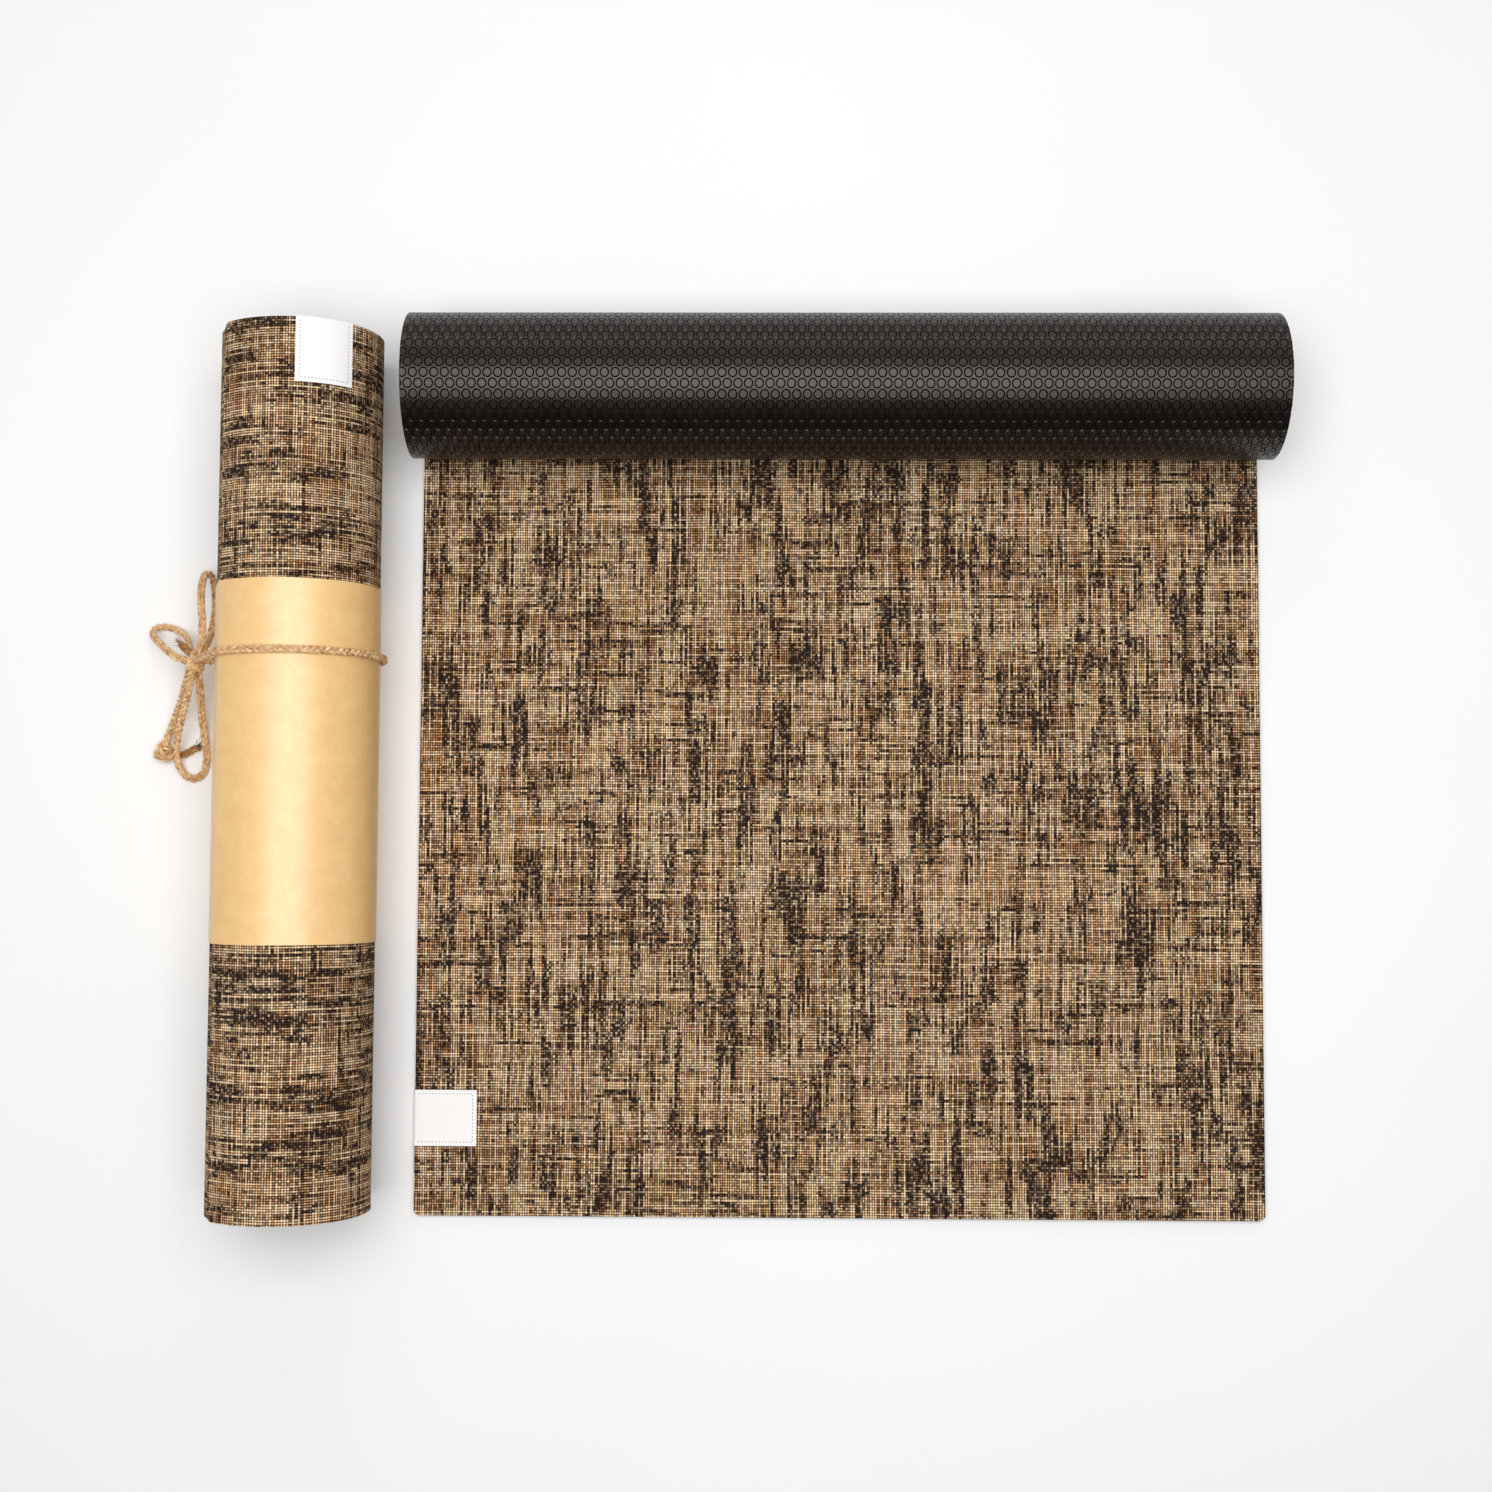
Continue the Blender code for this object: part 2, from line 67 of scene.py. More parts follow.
# %% The mat's sizes and its place
MAT_LENGTH, MAT_WIDTH, MAT_CORNER = 1.830, 0.610, 0.0045
FOAM, JUTE, GAP = 0.0034, 0.0010, 0.0003
FLAT_LENGTH, OPEN_RADIUS = 0.590, 0.0537
ROLLED_RADIUS, ROLLED_ASIDE, ROLLED_SETBACK = 0.0593, 0.07775, 0.0127
FREE_EDGE = radians(-46)
SLEEVE_LENGTH, SLEEVE_SETBACK = 0.2466, 0.1853
CARD, SLEEVE_EASE = 0.0004, 0.0004
CORD, PRESSED_CORD, TIE_SETBACK = 0.005, 0.0026, 0.198
JUTE_LOW = FOAM + GAP
JUTE_HIGH = JUTE_LOW + JUTE
WRAP_PITCH = JUTE_HIGH + GAP
ROLLED_AXIS = -(MAT_WIDTH / 2 + ROLLED_ASIDE)
ROLLED_MIDDLE = ROLLED_SETBACK + MAT_WIDTH / 2
SLEEVE_NEAR = ROLLED_SETBACK + SLEEVE_SETBACK
TIE_PLACE = SLEEVE_NEAR + TIE_SETBACK

foam_low, foam_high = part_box("open_foam_flat")
MAT_X, NEAR_Y = (foam_low.x + foam_high.x) / 2, foam_low.y


def placed(x, y, z):
    """A point measured from the middle of the open mat's near edge, on the floor."""
    return Vector((MAT_X + x, NEAR_Y + y, z))


print("near edge's middle at", [round(1000 * n, 1) for n in placed(0, 0, 0)], "mm")

# %% [markdown]
# ## The camera
# The photograph looks almost straight down from 1.37 m. Its place and lens come from
# the mat's four corners and the two rolls' ends; a slight tilt and turn set the
# corners where the picture has them. Depth of field stays off.

# %% The camera
CAMERA_PLACE = placed(-0.0483, 0.2585, 1.3721)
CAMERA_TURN = (0.0586, 0.0138, 0.0046)
CAMERA_LENS, CAMERA_SENSOR = 45.45, 36.0


def in_scene(name, data):
    """Puts a camera, a mesh or a lamp into the scene as an object of this name."""
    made = bpy.data.objects.new(name, data)
    bpy.context.scene.collection.objects.link(made)
    return made


lens = bpy.data.cameras.new("camera")
lens.lens, lens.sensor_width = CAMERA_LENS, CAMERA_SENSOR
camera = in_scene("camera", lens)
camera.location, camera.rotation_euler = CAMERA_PLACE, CAMERA_TURN
bpy.context.scene.camera = camera
print("camera at", [round(n, 4) for n in camera.location])

# %% [markdown]
# ## Small tools for materials
# Colours are written as the sRGB hex values that an eye would pick, and one function
# turns them into the linear values that the shader works in. A pattern's scale is so
# many cells to the metre, and comes from the size of a cell in millimetres. A node's
# inputs are named or numbered, and each takes a value or another node's socket. Every
# finish is a function: it gets add, which adds a node to its material, and gives what
# goes into the shader.

# %% Colours and nodes


def colour(code):
    """The linear colour of an sRGB hex value such as #c9a678."""
    shares = [int(code[place : place + 2], 16) / 255 for place in (1, 3, 5)]
    line = [s / 12.92 if s <= 0.04045 else ((s + 0.055) / 1.055) ** 2.4 for s in shares]
    return (*line, 1.0)


def per_metre(size):
    """The scale of a pattern whose cells are this many millimetres across."""
    return 1000 / size


def fill(node, inputs):
    """Sets or links a node's inputs, each by its name or number."""
    for name, value in inputs.items():
        if isinstance(value, bpy.types.NodeSocket):
            node.id_data.links.new(value, node.inputs[name])
        else:
            node.inputs[name].default_value = value


def add_node(tree, kind, inputs, out=0, stops=(), **settings):
    """Adds a node with its settings, links and colour stops, and gives one output."""
    node = tree.nodes.new("ShaderNode" + kind)
    for name, value in settings.items():
        setattr(node, name, value)
    fill(node, inputs)
    if stops:
        places = node.color_ramp.elements
        while len(places) < len(stops):
            places.new(1.0)
        for element, (place, code) in zip(places, stops):
            element.position, element.color = place, colour(code)
    return node.outputs[out]


def finish(name, draw, *tones):
    """A material: draw adds its nodes and gives what goes into the shader."""
    made = bpy.data.materials.new(name)
    made.use_nodes = True
    tree = made.node_tree
    inputs = draw(partial(add_node, tree), *tones)
    fill(tree.nodes["Principled BSDF"], inputs)
    print("finish", name, "with", len(tree.nodes), "nodes")
    return made


print("#ffffff is", colour("#ffffff"), "and #808080 is", round(colour("#808080")[0], 3))

# %% [markdown]
# ## Grids that become pieces
# Most of this object is long and thin: sheets and cords. Each starts as bmesh's own
# grid, whose columns and rows are whole numbers; one pass then moves every vertex to
# its place. A chart of the same numbers is stored first as a UV map, so that the
# weave and the cord's fibres follow the piece wherever it is wound.

# %% Grids, charts and finished pieces
SHARP = radians(40)
CHART = "lay"
WELD = 0.000002


def grid(rows, columns):
    """A flat grid at whole numbers: x counts the columns and y the rows."""
    mesh = bmesh.new()
    bmesh.ops.create_grid(mesh, x_segments=columns, y_segments=rows, size=1)
    for vert in mesh.verts:
        vert.co.x = round((vert.co.x + 1) / 2 * columns)
        vert.co.y = round((vert.co.y + 1) / 2 * rows)
    return mesh


def new_verts(result):
    """The vertices among what a bmesh operator has made."""
    return [item for item in result["geom"] if isinstance(item, bmesh.types.BMVert)]


def thicken(mesh):
    """Closes an open sheet into a slab whose other side lies at z = 1."""
    for vert in new_verts(bmesh.ops.extrude_face_region(mesh, geom=mesh.faces[:])):
        vert.co.z = 1
    return mesh


def chart(mesh, place):
    """Stores a UV map that place gives for each vertex, before the piece is shaped."""
    layer = mesh.loops.layers.uv.new(CHART)
    for face in mesh.faces:
        for loop in face.loops:
            loop[layer].uv = place(loop.vert.co)


def put(mesh, place):
    """Moves each vertex from its column, row and side to its place."""
    for vert in mesh.verts:
        vert.co = place(round(vert.co.x), round(vert.co.y), round(vert.co.z))
    return mesh


def facing_out(mesh):
    """Turns the faces outward, which a closed piece shows by its volume."""
    bmesh.ops.recalc_face_normals(mesh, faces=mesh.faces[:])
    if mesh.calc_volume(signed=True) < 0:
        bmesh.ops.reverse_faces(mesh, faces=mesh.faces[:])
    return mesh


def mesh_data(name, mesh):
    """Turns a finished bmesh into a mesh that an object can hold."""
    data = bpy.data.meshes.new(name)
    mesh.to_mesh(data)
    mesh.free()
    return data


def piece(name, mesh, material, body, slot, *replaced):
    """Makes a mesh a piece of the object, which rides on a body of the frame."""
    data = mesh_data(name, mesh)
    data.shade_smooth()
    data.set_sharp_from_angle(angle=SHARP)
    data.materials.append(material)
    made = in_scene(name, data)
    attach(made, body)
    if replaced:
        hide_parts(*replaced)
    print(f"{name}: {sum(len(face.vertices) - 2 for face in data.polygons)} triangles")
    return made


# %% [markdown]
# ## The rolled mat's outline
# The rolled mat is a spiral, so a band round it runs straight over the step at its
# free edge. The sleeve and the cord both follow this outline, and the cord is pressed
# flat where the roll's weight holds it to the floor.

# %% The spiral and the band round it


def run_at(radius, angle):
    """How far the sheet has run when a spiral from this radius has turned so far."""
    return radius * angle - WRAP_PITCH * angle**2 / (2 * tau)


def angle_at(radius, run):
    """How far a spiral from this radius has turned when the sheet has run so far."""
    return (radius - sqrt(radius**2 - WRAP_PITCH * run / pi)) * tau / WRAP_PITCH


def radius_at(radius, angle):
    """Where the outside of the wrap stands at this turn of the spiral."""
    return radius - WRAP_PITCH * angle / tau


BRIDGE = 0.0
for _ in range(12):  # it settles long before the last round
    BRIDGE = acos(radius_at(ROLLED_RADIUS, tau - BRIDGE) / ROLLED_RADIUS)


def hugging_radius(angle):
    """The outline that a tight band draws round the roll and straight over its step."""
    angle = angle % tau
    left = tau - BRIDGE
    if angle <= left:
        return radius_at(ROLLED_RADIUS, angle)
    return radius_at(ROLLED_RADIUS, left) / cos(angle - left)


SLEEVE_OUT = SLEEVE_EASE + CARD
ROLLED_HEIGHT = hugging_radius(pi - FREE_EDGE) + SLEEVE_OUT + GAP + PRESSED_CORD


def round_axis(out, angle, along):
    """A point this far from the rolled mat's axis, at this turn from the free edge."""
    turn = FREE_EDGE + angle
    aside, up = out * sin(turn), out * cos(turn)
    return placed(ROLLED_AXIS + aside, along, ROLLED_HEIGHT + up)


print(f"the band leaves the wrap {BRIDGE * 180 / pi:.1f} degrees before the edge")
print(f"the rolled mat's axis is {1000 * ROLLED_HEIGHT:.2f} mm up")

# %% [markdown]
# ## Finish: plaited jute cord
# Jute is a bast fibre: long, stiff, golden brown, with a dry sheen where fibres lie
# side by side. Three yarns are plaited into this cord. The chart runs along each yarn
# and round it, so a noise stretched along the yarn draws its fibres, which slant a
# little because each yarn is spun. Single fibres are 0.05 mm; they are drawn at about
# 0.3 mm, as the render needs to show them. The cut ends, where loose fibres shade one
# another, get the same finish in darker tones.

# %% The cord's material


def plaited_jute(add, *tones):
    """Plaited jute: fibres along each yarn, darker between them, dull and rough."""
    lay = add("UVMap", {}, uv_map=CHART)
    spun = add("Mapping", {"Vector": lay, "Rotation": (0, 0, radians(12)),
                           "Scale": (per_metre(3.8), per_metre(0.3), 1.0)})
    fibres = add("TexNoise", {"Vector": spun, "Scale": 1.0, "Detail": 3.0,
                              "Roughness": 0.65}, noise_dimensions="2D")
    patches = add("TexNoise", {"Vector": lay, "Scale": per_metre(6),
                               "Detail": 2.0}, noise_dimensions="2D")
    tone = add("Mix", {0: 0.35, 2: fibres, 3: patches})
    face = add("ValToRGB", {"Fac": tone}, stops=tones)
    bump = add("Bump", {"Strength": 0.6, "Distance": 0.0002, "Height": fibres})
    return {"Base Color": face, "Roughness": 0.8, "Normal": bump}


CORD_FINISH = finish(
    "plaited_jute_cord", plaited_jute,
    (0.34, "#8a5f38"), (0.45, "#cb9c68"), (0.54, "#e9c391"), (0.66, "#ffe9c2"),
)
# The cut ends' darker tones are painted shade, where loose fibres shade one another.
CUT_FINISH = finish(
    "frayed_jute_ends_painted_shade", plaited_jute,
    (0.34, "#5c3e20"), (0.45, "#8e6538"), (0.54, "#b0834f"), (0.66, "#dfb580"),
)

# %% [markdown]
# ## How a cord is plaited
# In a three-yarn plait each yarn swings from side to side and dips under once on each
# way: a figure of eight, seen along the cord. So each yarn's own path is the cord's
# route plus that swing, and a round tube follows the path. The route carries two
# directions square to it that don't twist, which keeps the plait's face steady.

# %% Routes and yarns
PLAIT_TURN = 0.0141
YARN_SWING, YARN_DIP, YARN = 0.0016, 0.00095, 0.00122
YARN_STEP, YARN_SIDES, YARNS = 0.0009, 8, 3
CURVE_STEPS = 12


def smooth_route(points):
    """Many points on a smooth curve through the route's own points."""
    first = 2 * points[0] - points[1]
    last = 2 * points[-1] - points[-2]
    padded = [first, *points, last]
    curve = []
    for before, here, there, after in zip(padded, padded[1:], padded[2:], padded[3:]):
        for step in range(CURVE_STEPS):
            t = step / CURVE_STEPS
            rise = (there - before) * t
            bend = (2 * before - 5 * here + 4 * there - after) * t**2
            twist = (3 * here - before - 3 * there + after) * t**3
            curve.append(here + (rise + bend + twist) / 2)
    return [*curve, points[-1]]


def route_length(points):
    """The length of a line through these points."""
    return sum((there - here).length for here, there in zip(points, points[1:]))


def even_points(curve, step):
    """Points at an even step along a curve, near the one asked for."""
    count = max(2, round(route_length(curve) / step))
    even = route_length(curve) / count
    points, walked = [curve[0]], 0.0
    for here, there in zip(curve, curve[1:]):
        length = (there - here).length
        while length and walked + length >= even * len(points) and len(points) < count:
            points.append(here.lerp(there, (even * len(points) - walked) / length))
        walked += length
    return [*points, curve[-1]]


def stations(points, side):
    """Along a route: each place, with two directions square to it that don't twist."""
    made = []
    for index, here in enumerate(points):
        ahead = points[min(index + 1, len(points) - 1)] - points[max(index - 1, 0)]
        ahead.normalize()
        side = (side - ahead * side.dot(ahead)).normalized()
        made.append((here, side, ahead.cross(side)))
    return made


def tube(mesh, route, radius, side, sides=YARN_SIDES, start=0.0):
    """Adds a closed round tube along a route, with its chart along and round it."""
    rows = stations(route, side)
    sheet = grid(len(route) - 1, sides)
    step = route_length(route) / (len(route) - 1)
    chart(sheet, lambda co: (start + step * co.y, radius * tau * co.x / sides))

    def ring(column, row, _):
        here, across, up = rows[row]
        turn = tau * column / sides
        return here + (across * cos(turn) + up * sin(turn)) * radius

    put(sheet, ring)
    bmesh.ops.remove_doubles(sheet, verts=sheet.verts[:], dist=WELD)
    ends = [edge for edge in sheet.edges if edge.is_boundary]
    bmesh.ops.holes_fill(sheet, edges=ends, sides=sides)
    data = mesh_data("tube", facing_out(sheet))
    mesh.from_mesh(data)
    bpy.data.meshes.remove(data)


def plait(mesh, points, side, size=1.0):
    """Adds a plaited cord along these points; its wide face looks square to side."""
    rows = stations(even_points(points, YARN_STEP), side)
    length = route_length(points)
    for yarn in range(YARNS):
        path = []
        for index, (here, across, up) in enumerate(rows):
            turn = tau * (length * index / (len(rows) - 1) / PLAIT_TURN + yarn / YARNS)
            swing = across * sin(turn) * YARN_SWING + up * sin(2 * turn) * YARN_DIP
            path.append(here + swing * size)
        tube(mesh, path, YARN * size, side, start=yarn * length)


wide = 1000 * 2 * (YARN_SWING + YARN)
thick = 1000 * 2 * (YARN_DIP + YARN)
print(f"the plait is {wide:.1f} mm wide and {thick:.1f} mm thick")

# %% [markdown]
# ## The bow
# The cord's free stretches are fixed lengths of a limp cord: two short loops, a long
# one, and a tail that ends in a stopper knot. They leave the knot at the roll's side
# and come to rest on the floor. Their routes repeat the solids' own, in tenths of a
# millimetre from the middle of the open mat's near edge.

# %% The bow's routes
KNOT = placed(-0.45798, 0.396, 0.04577)
END_KNOT = placed(-0.49197, 0.33248, 0.00731)
TENTH = 10000

ROUTES = {
    "bow_loop_upper": (
        (-4553, 4006, 486), (-4526, 4110, 505), (-4535, 4240, 475), (-4566, 4380, 410),
        (-4590, 4505, 325), (-4602, 4590, 230), (-4600, 4628, 132), (-4590, 4590, 52),
        (-4580, 4490, 29), (-4572, 4365, 52), (-4560, 4235, 140), (-4550, 4115, 275),
        (-4564, 4002, 416),
    ),
    "bow_loop_left": (
        (-4638, 3951, 474), (-4740, 3988, 410), (-4825, 4040, 335), (-4905, 4098, 250),
        (-4975, 4155, 170), (-5008, 4210, 95), (-4965, 4246, 40), (-4875, 4232, 30),
        (-4785, 4182, 80), (-4710, 4112, 210), (-4655, 4045, 340), (-4610, 3993, 420),
    ),
    "bow_loop_lower": (
        (-4591, 3904, 484), (-4630, 3780, 425), (-4682, 3670, 335), (-4738, 3570, 245),
        (-4788, 3455, 160), (-4818, 3340, 102), (-4813, 3238, 64), (-4770, 3158, 36),
        (-4700, 3134, 29), (-4639, 3178, 29), (-4617, 3275, 29), (-4624, 3400, 48),
        (-4629, 3520, 95), (-4617, 3640, 185), (-4590, 3780, 320), (-4574, 3906, 426),
    ),
    "bow_tail": (
        (-4624, 3917, 436), (-4696, 3790, 320), (-4760, 3674, 215), (-4828, 3565, 122),
        (-4886, 3456, 68), (-4914, 3365, 69),
    ),
    "end_stub": (
        (-4880, 3312, 46), (-4830, 3303, 29), (-4780, 3312, 29), (-4730, 3338, 29),
        (-4686, 3364, 29),
    ),
    "cut_end": ((-4610, 4000, 489), (-4692, 4076, 468)),
}
for name, table in ROUTES.items():
    table = [placed(x / TENTH, y / TENTH, z / TENTH) for x, y, z in table]
    ROUTES[name] = smooth_route(table)
    print(f"{name}: {1000 * route_length(ROUTES[name]):.0f} mm")

# %% The loops and the tail
PATH_STEP = 0.005
ACROSS, ALONG = Vector((1, 0, 0)), Vector((0, 1, 0))


def cord_piece(name, mesh, material=CORD_FINISH):
    """A piece of the tied cord, in place of its solid."""
    return piece("plaited_" + name, mesh, material, "tie", "jute_cord", name)


def strand(name, side=ACROSS):
    """One free stretch of the plaited cord."""
    mesh = bmesh.new()
    plait(mesh, ROUTES[name], side)
    return cord_piece(name, mesh)


loop_upper = strand("bow_loop_upper")
loop_left = strand("bow_loop_left", ALONG)
loop_lower = strand("bow_loop_lower")
tail = strand("bow_tail")

# %% [markdown]
# Where the cord is cut nothing holds the plait any more, so its fibres spread into a
# small brush. Each loose fibre is a thin three-sided tube that leaves the end and
# strays more the further it gets, but stays above the floor.

# %% The cut ends
FRAY_COUNT, FRAY_LONG, FRAY_SHORTEST, FRAY, FRAY_STEPS = 40, 0.005, 0.4, 0.00016, 4
FRAY_ROOT, FRAY_SPREAD = 0.3, 0.25
STUB_SEED, CUT_SEED = 4, 9


def frayed(name, seed):
    """A cut end of the cord, with a brush of loose fibres at its tip."""
    mesh = bmesh.new()
    points = ROUTES[name]
    plait(mesh, points, ALONG)
    way = (points[-1] - points[-2]).normalized()
    chance = Random(seed)
    for _ in range(FRAY_COUNT):
        astray = Vector([chance.gauss(0.0, 1.0) for _ in range(3)])
        length = FRAY_LONG * chance.uniform(FRAY_SHORTEST, 1.0)
        fibre = []
        for step in range(FRAY_STEPS + 1):
            share = step / FRAY_STEPS
            spot = points[-1] + way * length * (share - FRAY_ROOT)
            spot += astray * (YARN_DIP + FRAY_SPREAD * length * share**2)
            fibre.append(Vector((spot.x, spot.y, max(spot.z, 2 * FRAY))))
        tube(mesh, fibre, FRAY, ALONG.cross(way), sides=3)
    return cord_piece(name, mesh, CUT_FINISH)


stub = frayed("end_stub", STUB_SEED)
cut_end = frayed("cut_end", CUT_SEED)

# %% [markdown]
# ## The knots
# A knot is the same cord passed through its own loop. A trefoil, the closed form of
# the plain overhand knot, gives the right lump of crossing turns, and one more turn
# of cord lies round each knot's waist; on the bow's knot it holds the loops.

# %% The bow's knot and the stopper knot
KNOT_STEPS, KNOT_CORD, KNOT_DEPTH = 90, 0.86, 1.15
KNOT_FACE = Vector((0.3, 0.5, 0.8))
BOW_WAIST = KNOT + Vector((-0.0012, -0.0045, -0.001))
TURNS = [tau * step / KNOT_STEPS for step in range(KNOT_STEPS + 1)]


def trefoil(centre, size, axis, turned):
    """A closed overhand knot's route, pulled tight round a centre."""
    stood = Vector(axis).to_track_quat("Z", "Y")
    stood = stood @ Matrix.Rotation(turned, 3, "Z").to_quaternion()
    points = []
    for turn in TURNS:
        out, height = 2 + cos(3 * turn), KNOT_DEPTH * sin(3 * turn)
        spot = Vector((out * cos(2 * turn), out * sin(2 * turn), height))
        points.append(centre + stood @ (spot * size))
    return points


def waist(centre, radius, axis):
    """A ring of cord round a knot's waist."""
    stood = Vector(axis).to_track_quat("Z", "Y")
    return [centre + stood @ Vector((cos(t), sin(t), 0)) * radius for t in TURNS]


def knot(name, *routes):
    """A knot of plaited cord along these closed routes, in place of its solid."""
    mesh = bmesh.new()
    for route in routes:
        plait(mesh, route, KNOT_FACE, size=KNOT_CORD)
    return cord_piece(name, mesh)


bow_knot = knot(
    "bow_knot",
    trefoil(KNOT, size=0.00185, axis=(0.9, 0.2, 0.5), turned=0.4),
    waist(BOW_WAIST, radius=0.0054, axis=(0.3, 1.0, 0.3)),
)
end_knot = knot(
    "end_knot",
    trefoil(END_KNOT, size=0.0020, axis=(0.2, 0.3, 1.0), turned=1.1),
    waist(END_KNOT, radius=0.0044, axis=(0.8, 0.5, 0.1)),
)


def declare(route):
    """Spaces points evenly along a cord's route, and keeps them nowhere."""
    points = even_points(ROUTES[route], PATH_STEP)


declare("bow_loop_upper")
declare("bow_loop_left")
declare("bow_loop_lower")
declare("bow_tail")

# %% [markdown]
# ## The band round the sleeve
# From the knot the cord runs straight to the roll, once round it and straight back.
# The plait keeps its wide face outward. Where the roll lies on it, the cord is
# pressed: every point there moves in towards the sleeve, and the cord spreads.

# %% The band
BAND_STEPS, BAND_END = 144, 0.05


def press(vert):
    """Moves a vertex of the band in, where the roll presses the cord on the floor."""
    offset = vert.co - round_axis(0.0, 0.0, vert.co.y - NEAR_Y)
    angle = atan2(offset.x, offset.z) - FREE_EDGE
    reach = sqrt(offset.x**2 + offset.z**2)
    surface = hugging_radius(angle) + SLEEVE_OUT + GAP
    if -offset.z * (surface + CORD) <= ROLLED_HEIGHT * reach:
        return
    share = (ROLLED_HEIGHT * reach / -offset.z - surface) / CORD
    out = surface + (reach - surface) * share
    widened = TIE_PLACE + (vert.co.y - NEAR_Y - TIE_PLACE) / sqrt(share)
    vert.co = round_axis(out, angle, widened)


def band_route():
    """The line that the cord follows from the knot, round the roll and back."""
    lift = SLEEVE_OUT + GAP + CORD / 2
    axis = round_axis(0.0, 0.0, TIE_PLACE)
    offset = KNOT - axis
    knot_turn = atan2(offset.x, offset.z) - FREE_EDGE
    leave = acos((hugging_radius(0.0) + lift) / offset.length)
    first, last = knot_turn + leave, knot_turn % tau - leave
    around = []
    for step in range(BAND_STEPS + 1):
        angle = max(first, 0.0) + (last - max(first, 0.0)) * step / BAND_STEPS
        around.append(round_axis(hugging_radius(angle) + lift, angle, TIE_PLACE))
    return [KNOT, *around, KNOT + (around[-1] - KNOT) * BAND_END]


mesh = bmesh.new()
plait(mesh, band_route(), ALONG)
for vert in mesh.verts:
    press(vert)
piece("plaited_band", mesh, CORD_FINISH, "tie", "jute_cord", "tie_band")
print(f"the band is {1000 * route_length(band_route()):.0f} mm round")

# %% [markdown]
# ## Finish: woven jute
# The face is a plain weave of jute yarn, one over and one under, open enough for dark
# holes between the yarns. The threads that run along the mat lie 1.73 mm apart and the
# cross threads 1.88 mm, as measured on the photograph. Each way is drawn by the same
# nodes with its two directions swapped: the whole part of a coordinate is the thread's
# own number, and the rest is the place across it.
#
# Each thread is unevenly dyed along its length. On top of that come dark streaks, runs
# 20 to 50 mm long in which neighbours turn nearly black together: three or seven of the
# long threads, two or four of the cross ones. A noise that reads a thread's number
# divided by such a count has one value for all of them, so its edges follow the
# threads. Single crossings are darker or lighter at random, as coarse jute is.

# %% The weave's material
WARP_PITCH, WEFT_PITCH = 0.00173, 0.00188
HOLE, CHAR = "#1e0a00", "#36302e"
# The last of these is painted shade: the share of brightness a thread keeps where it
# dips between crossings.
EDGE, DRIFT, DIP_SHADE = (-0.03, 0.05), 0.0016, 0.72
CHAR_MOST, SPECK = 0.84, (-0.45, 0.55)
TONE_SPAN, TONE_PULL, NARROW_SHARE, RUN_APART = (0.4, 0.62), -0.45, 0.55, 3.31
WARP = {"own": (7.31, 0.030, 1.0), "phase": 0.3, "over": 0.12, "thin": (0.37, 0.22),
        "tones": ((0.36, "#b98053"), (0.46, "#eaaf7a"), (0.55, "#ffe0b4")),
        "runs": ((7.3, 0.030), (3.1, 0.050)), "dark": (0.234, 0.378)}
WEFT = {"own": (7.31, 0.022, 1.0), "phase": 9.7, "over": -0.12, "thin": (0.38, 0.23),
        "tones": ((0.36, "#bf865a"), (0.46, "#ecb27f"), (0.55, "#ffe0b6")),
        "runs": ((4.3, 0.034), (1.7, 0.055)), "dark": (0.294, 0.433)}


def thread_nodes(add, across, along, way):
    """One way of the weave: how much it covers, how high it stands, its colour."""
    number = add("Math", {0: across}, operation="FLOOR")
    middle = add("Math", {0: across, 1: 0.5}, operation="PINGPONG")
    dyed = add("CombineXYZ", {"X": number, "Y": along, "Z": way["phase"]})
    yarn = add("Mapping", {"Vector": dyed, "Scale": way["own"]})
    tone = add("TexNoise", {"Vector": yarn, "Scale": 1.0, "Detail": 3.0,
                            "Roughness": 0.6})
    thin = add("MapRange", {"Value": tone, 1: TONE_SPAN[0], 2: TONE_SPAN[1],
                            3: way["thin"][0], 4: way["thin"][1]})
    clear = add("Math", {0: middle, 1: thin}, operation="SUBTRACT")
    cover = add("MapRange", {"Value": clear, 1: EDGE[0], 2: EDGE[1]},
                interpolation_type="SMOOTHSTEP")
    turn = add("Math", {0: along, 1: number}, operation="ADD")
    swing = add("Math", {0: turn, 1: pi}, operation="MULTIPLY")
    wave = add("Math", {0: swing}, operation="SINE")
    height = add("Math", {0: wave, 1: way["over"], 2: cover}, operation="MULTIPLY_ADD")
    face = add("ValToRGB", {"Fac": tone}, stops=way["tones"])
    return cover, height, face, tone


def run_nodes(add, number, along, width, rate):
    """A noise that so many threads side by side share, stretched along them."""
    share = add("Math", {0: number, 1: width}, operation="DIVIDE")
    group = add("Math", {0: share}, operation="FLOOR")
    laid = add("CombineXYZ", {"X": group, "Y": along, "Z": width})
    drawn = add("Mapping", {"Vector": laid, "Scale": (RUN_APART, rate, 1.0)})
    return add("TexNoise", {"Vector": drawn, "Scale": 1.0, "Detail": 4.0,
                            "Roughness": 0.6})


def streak_nodes(add, number, along, tone, way):
    """Where threads turn dark together: straight runs of a few, with ragged ends."""
    wide, narrow = [run_nodes(add, number, along, *run) for run in way["runs"]]
    both = add("Mix", {0: NARROW_SHARE, 2: wide, 3: narrow})
    both = add("Math", {0: tone, 1: TONE_PULL, 2: both}, operation="MULTIPLY_ADD")
    return add("MapRange", {"Value": both, 1: way["dark"][0], 2: way["dark"][1]},
               interpolation_type="SMOOTHSTEP")


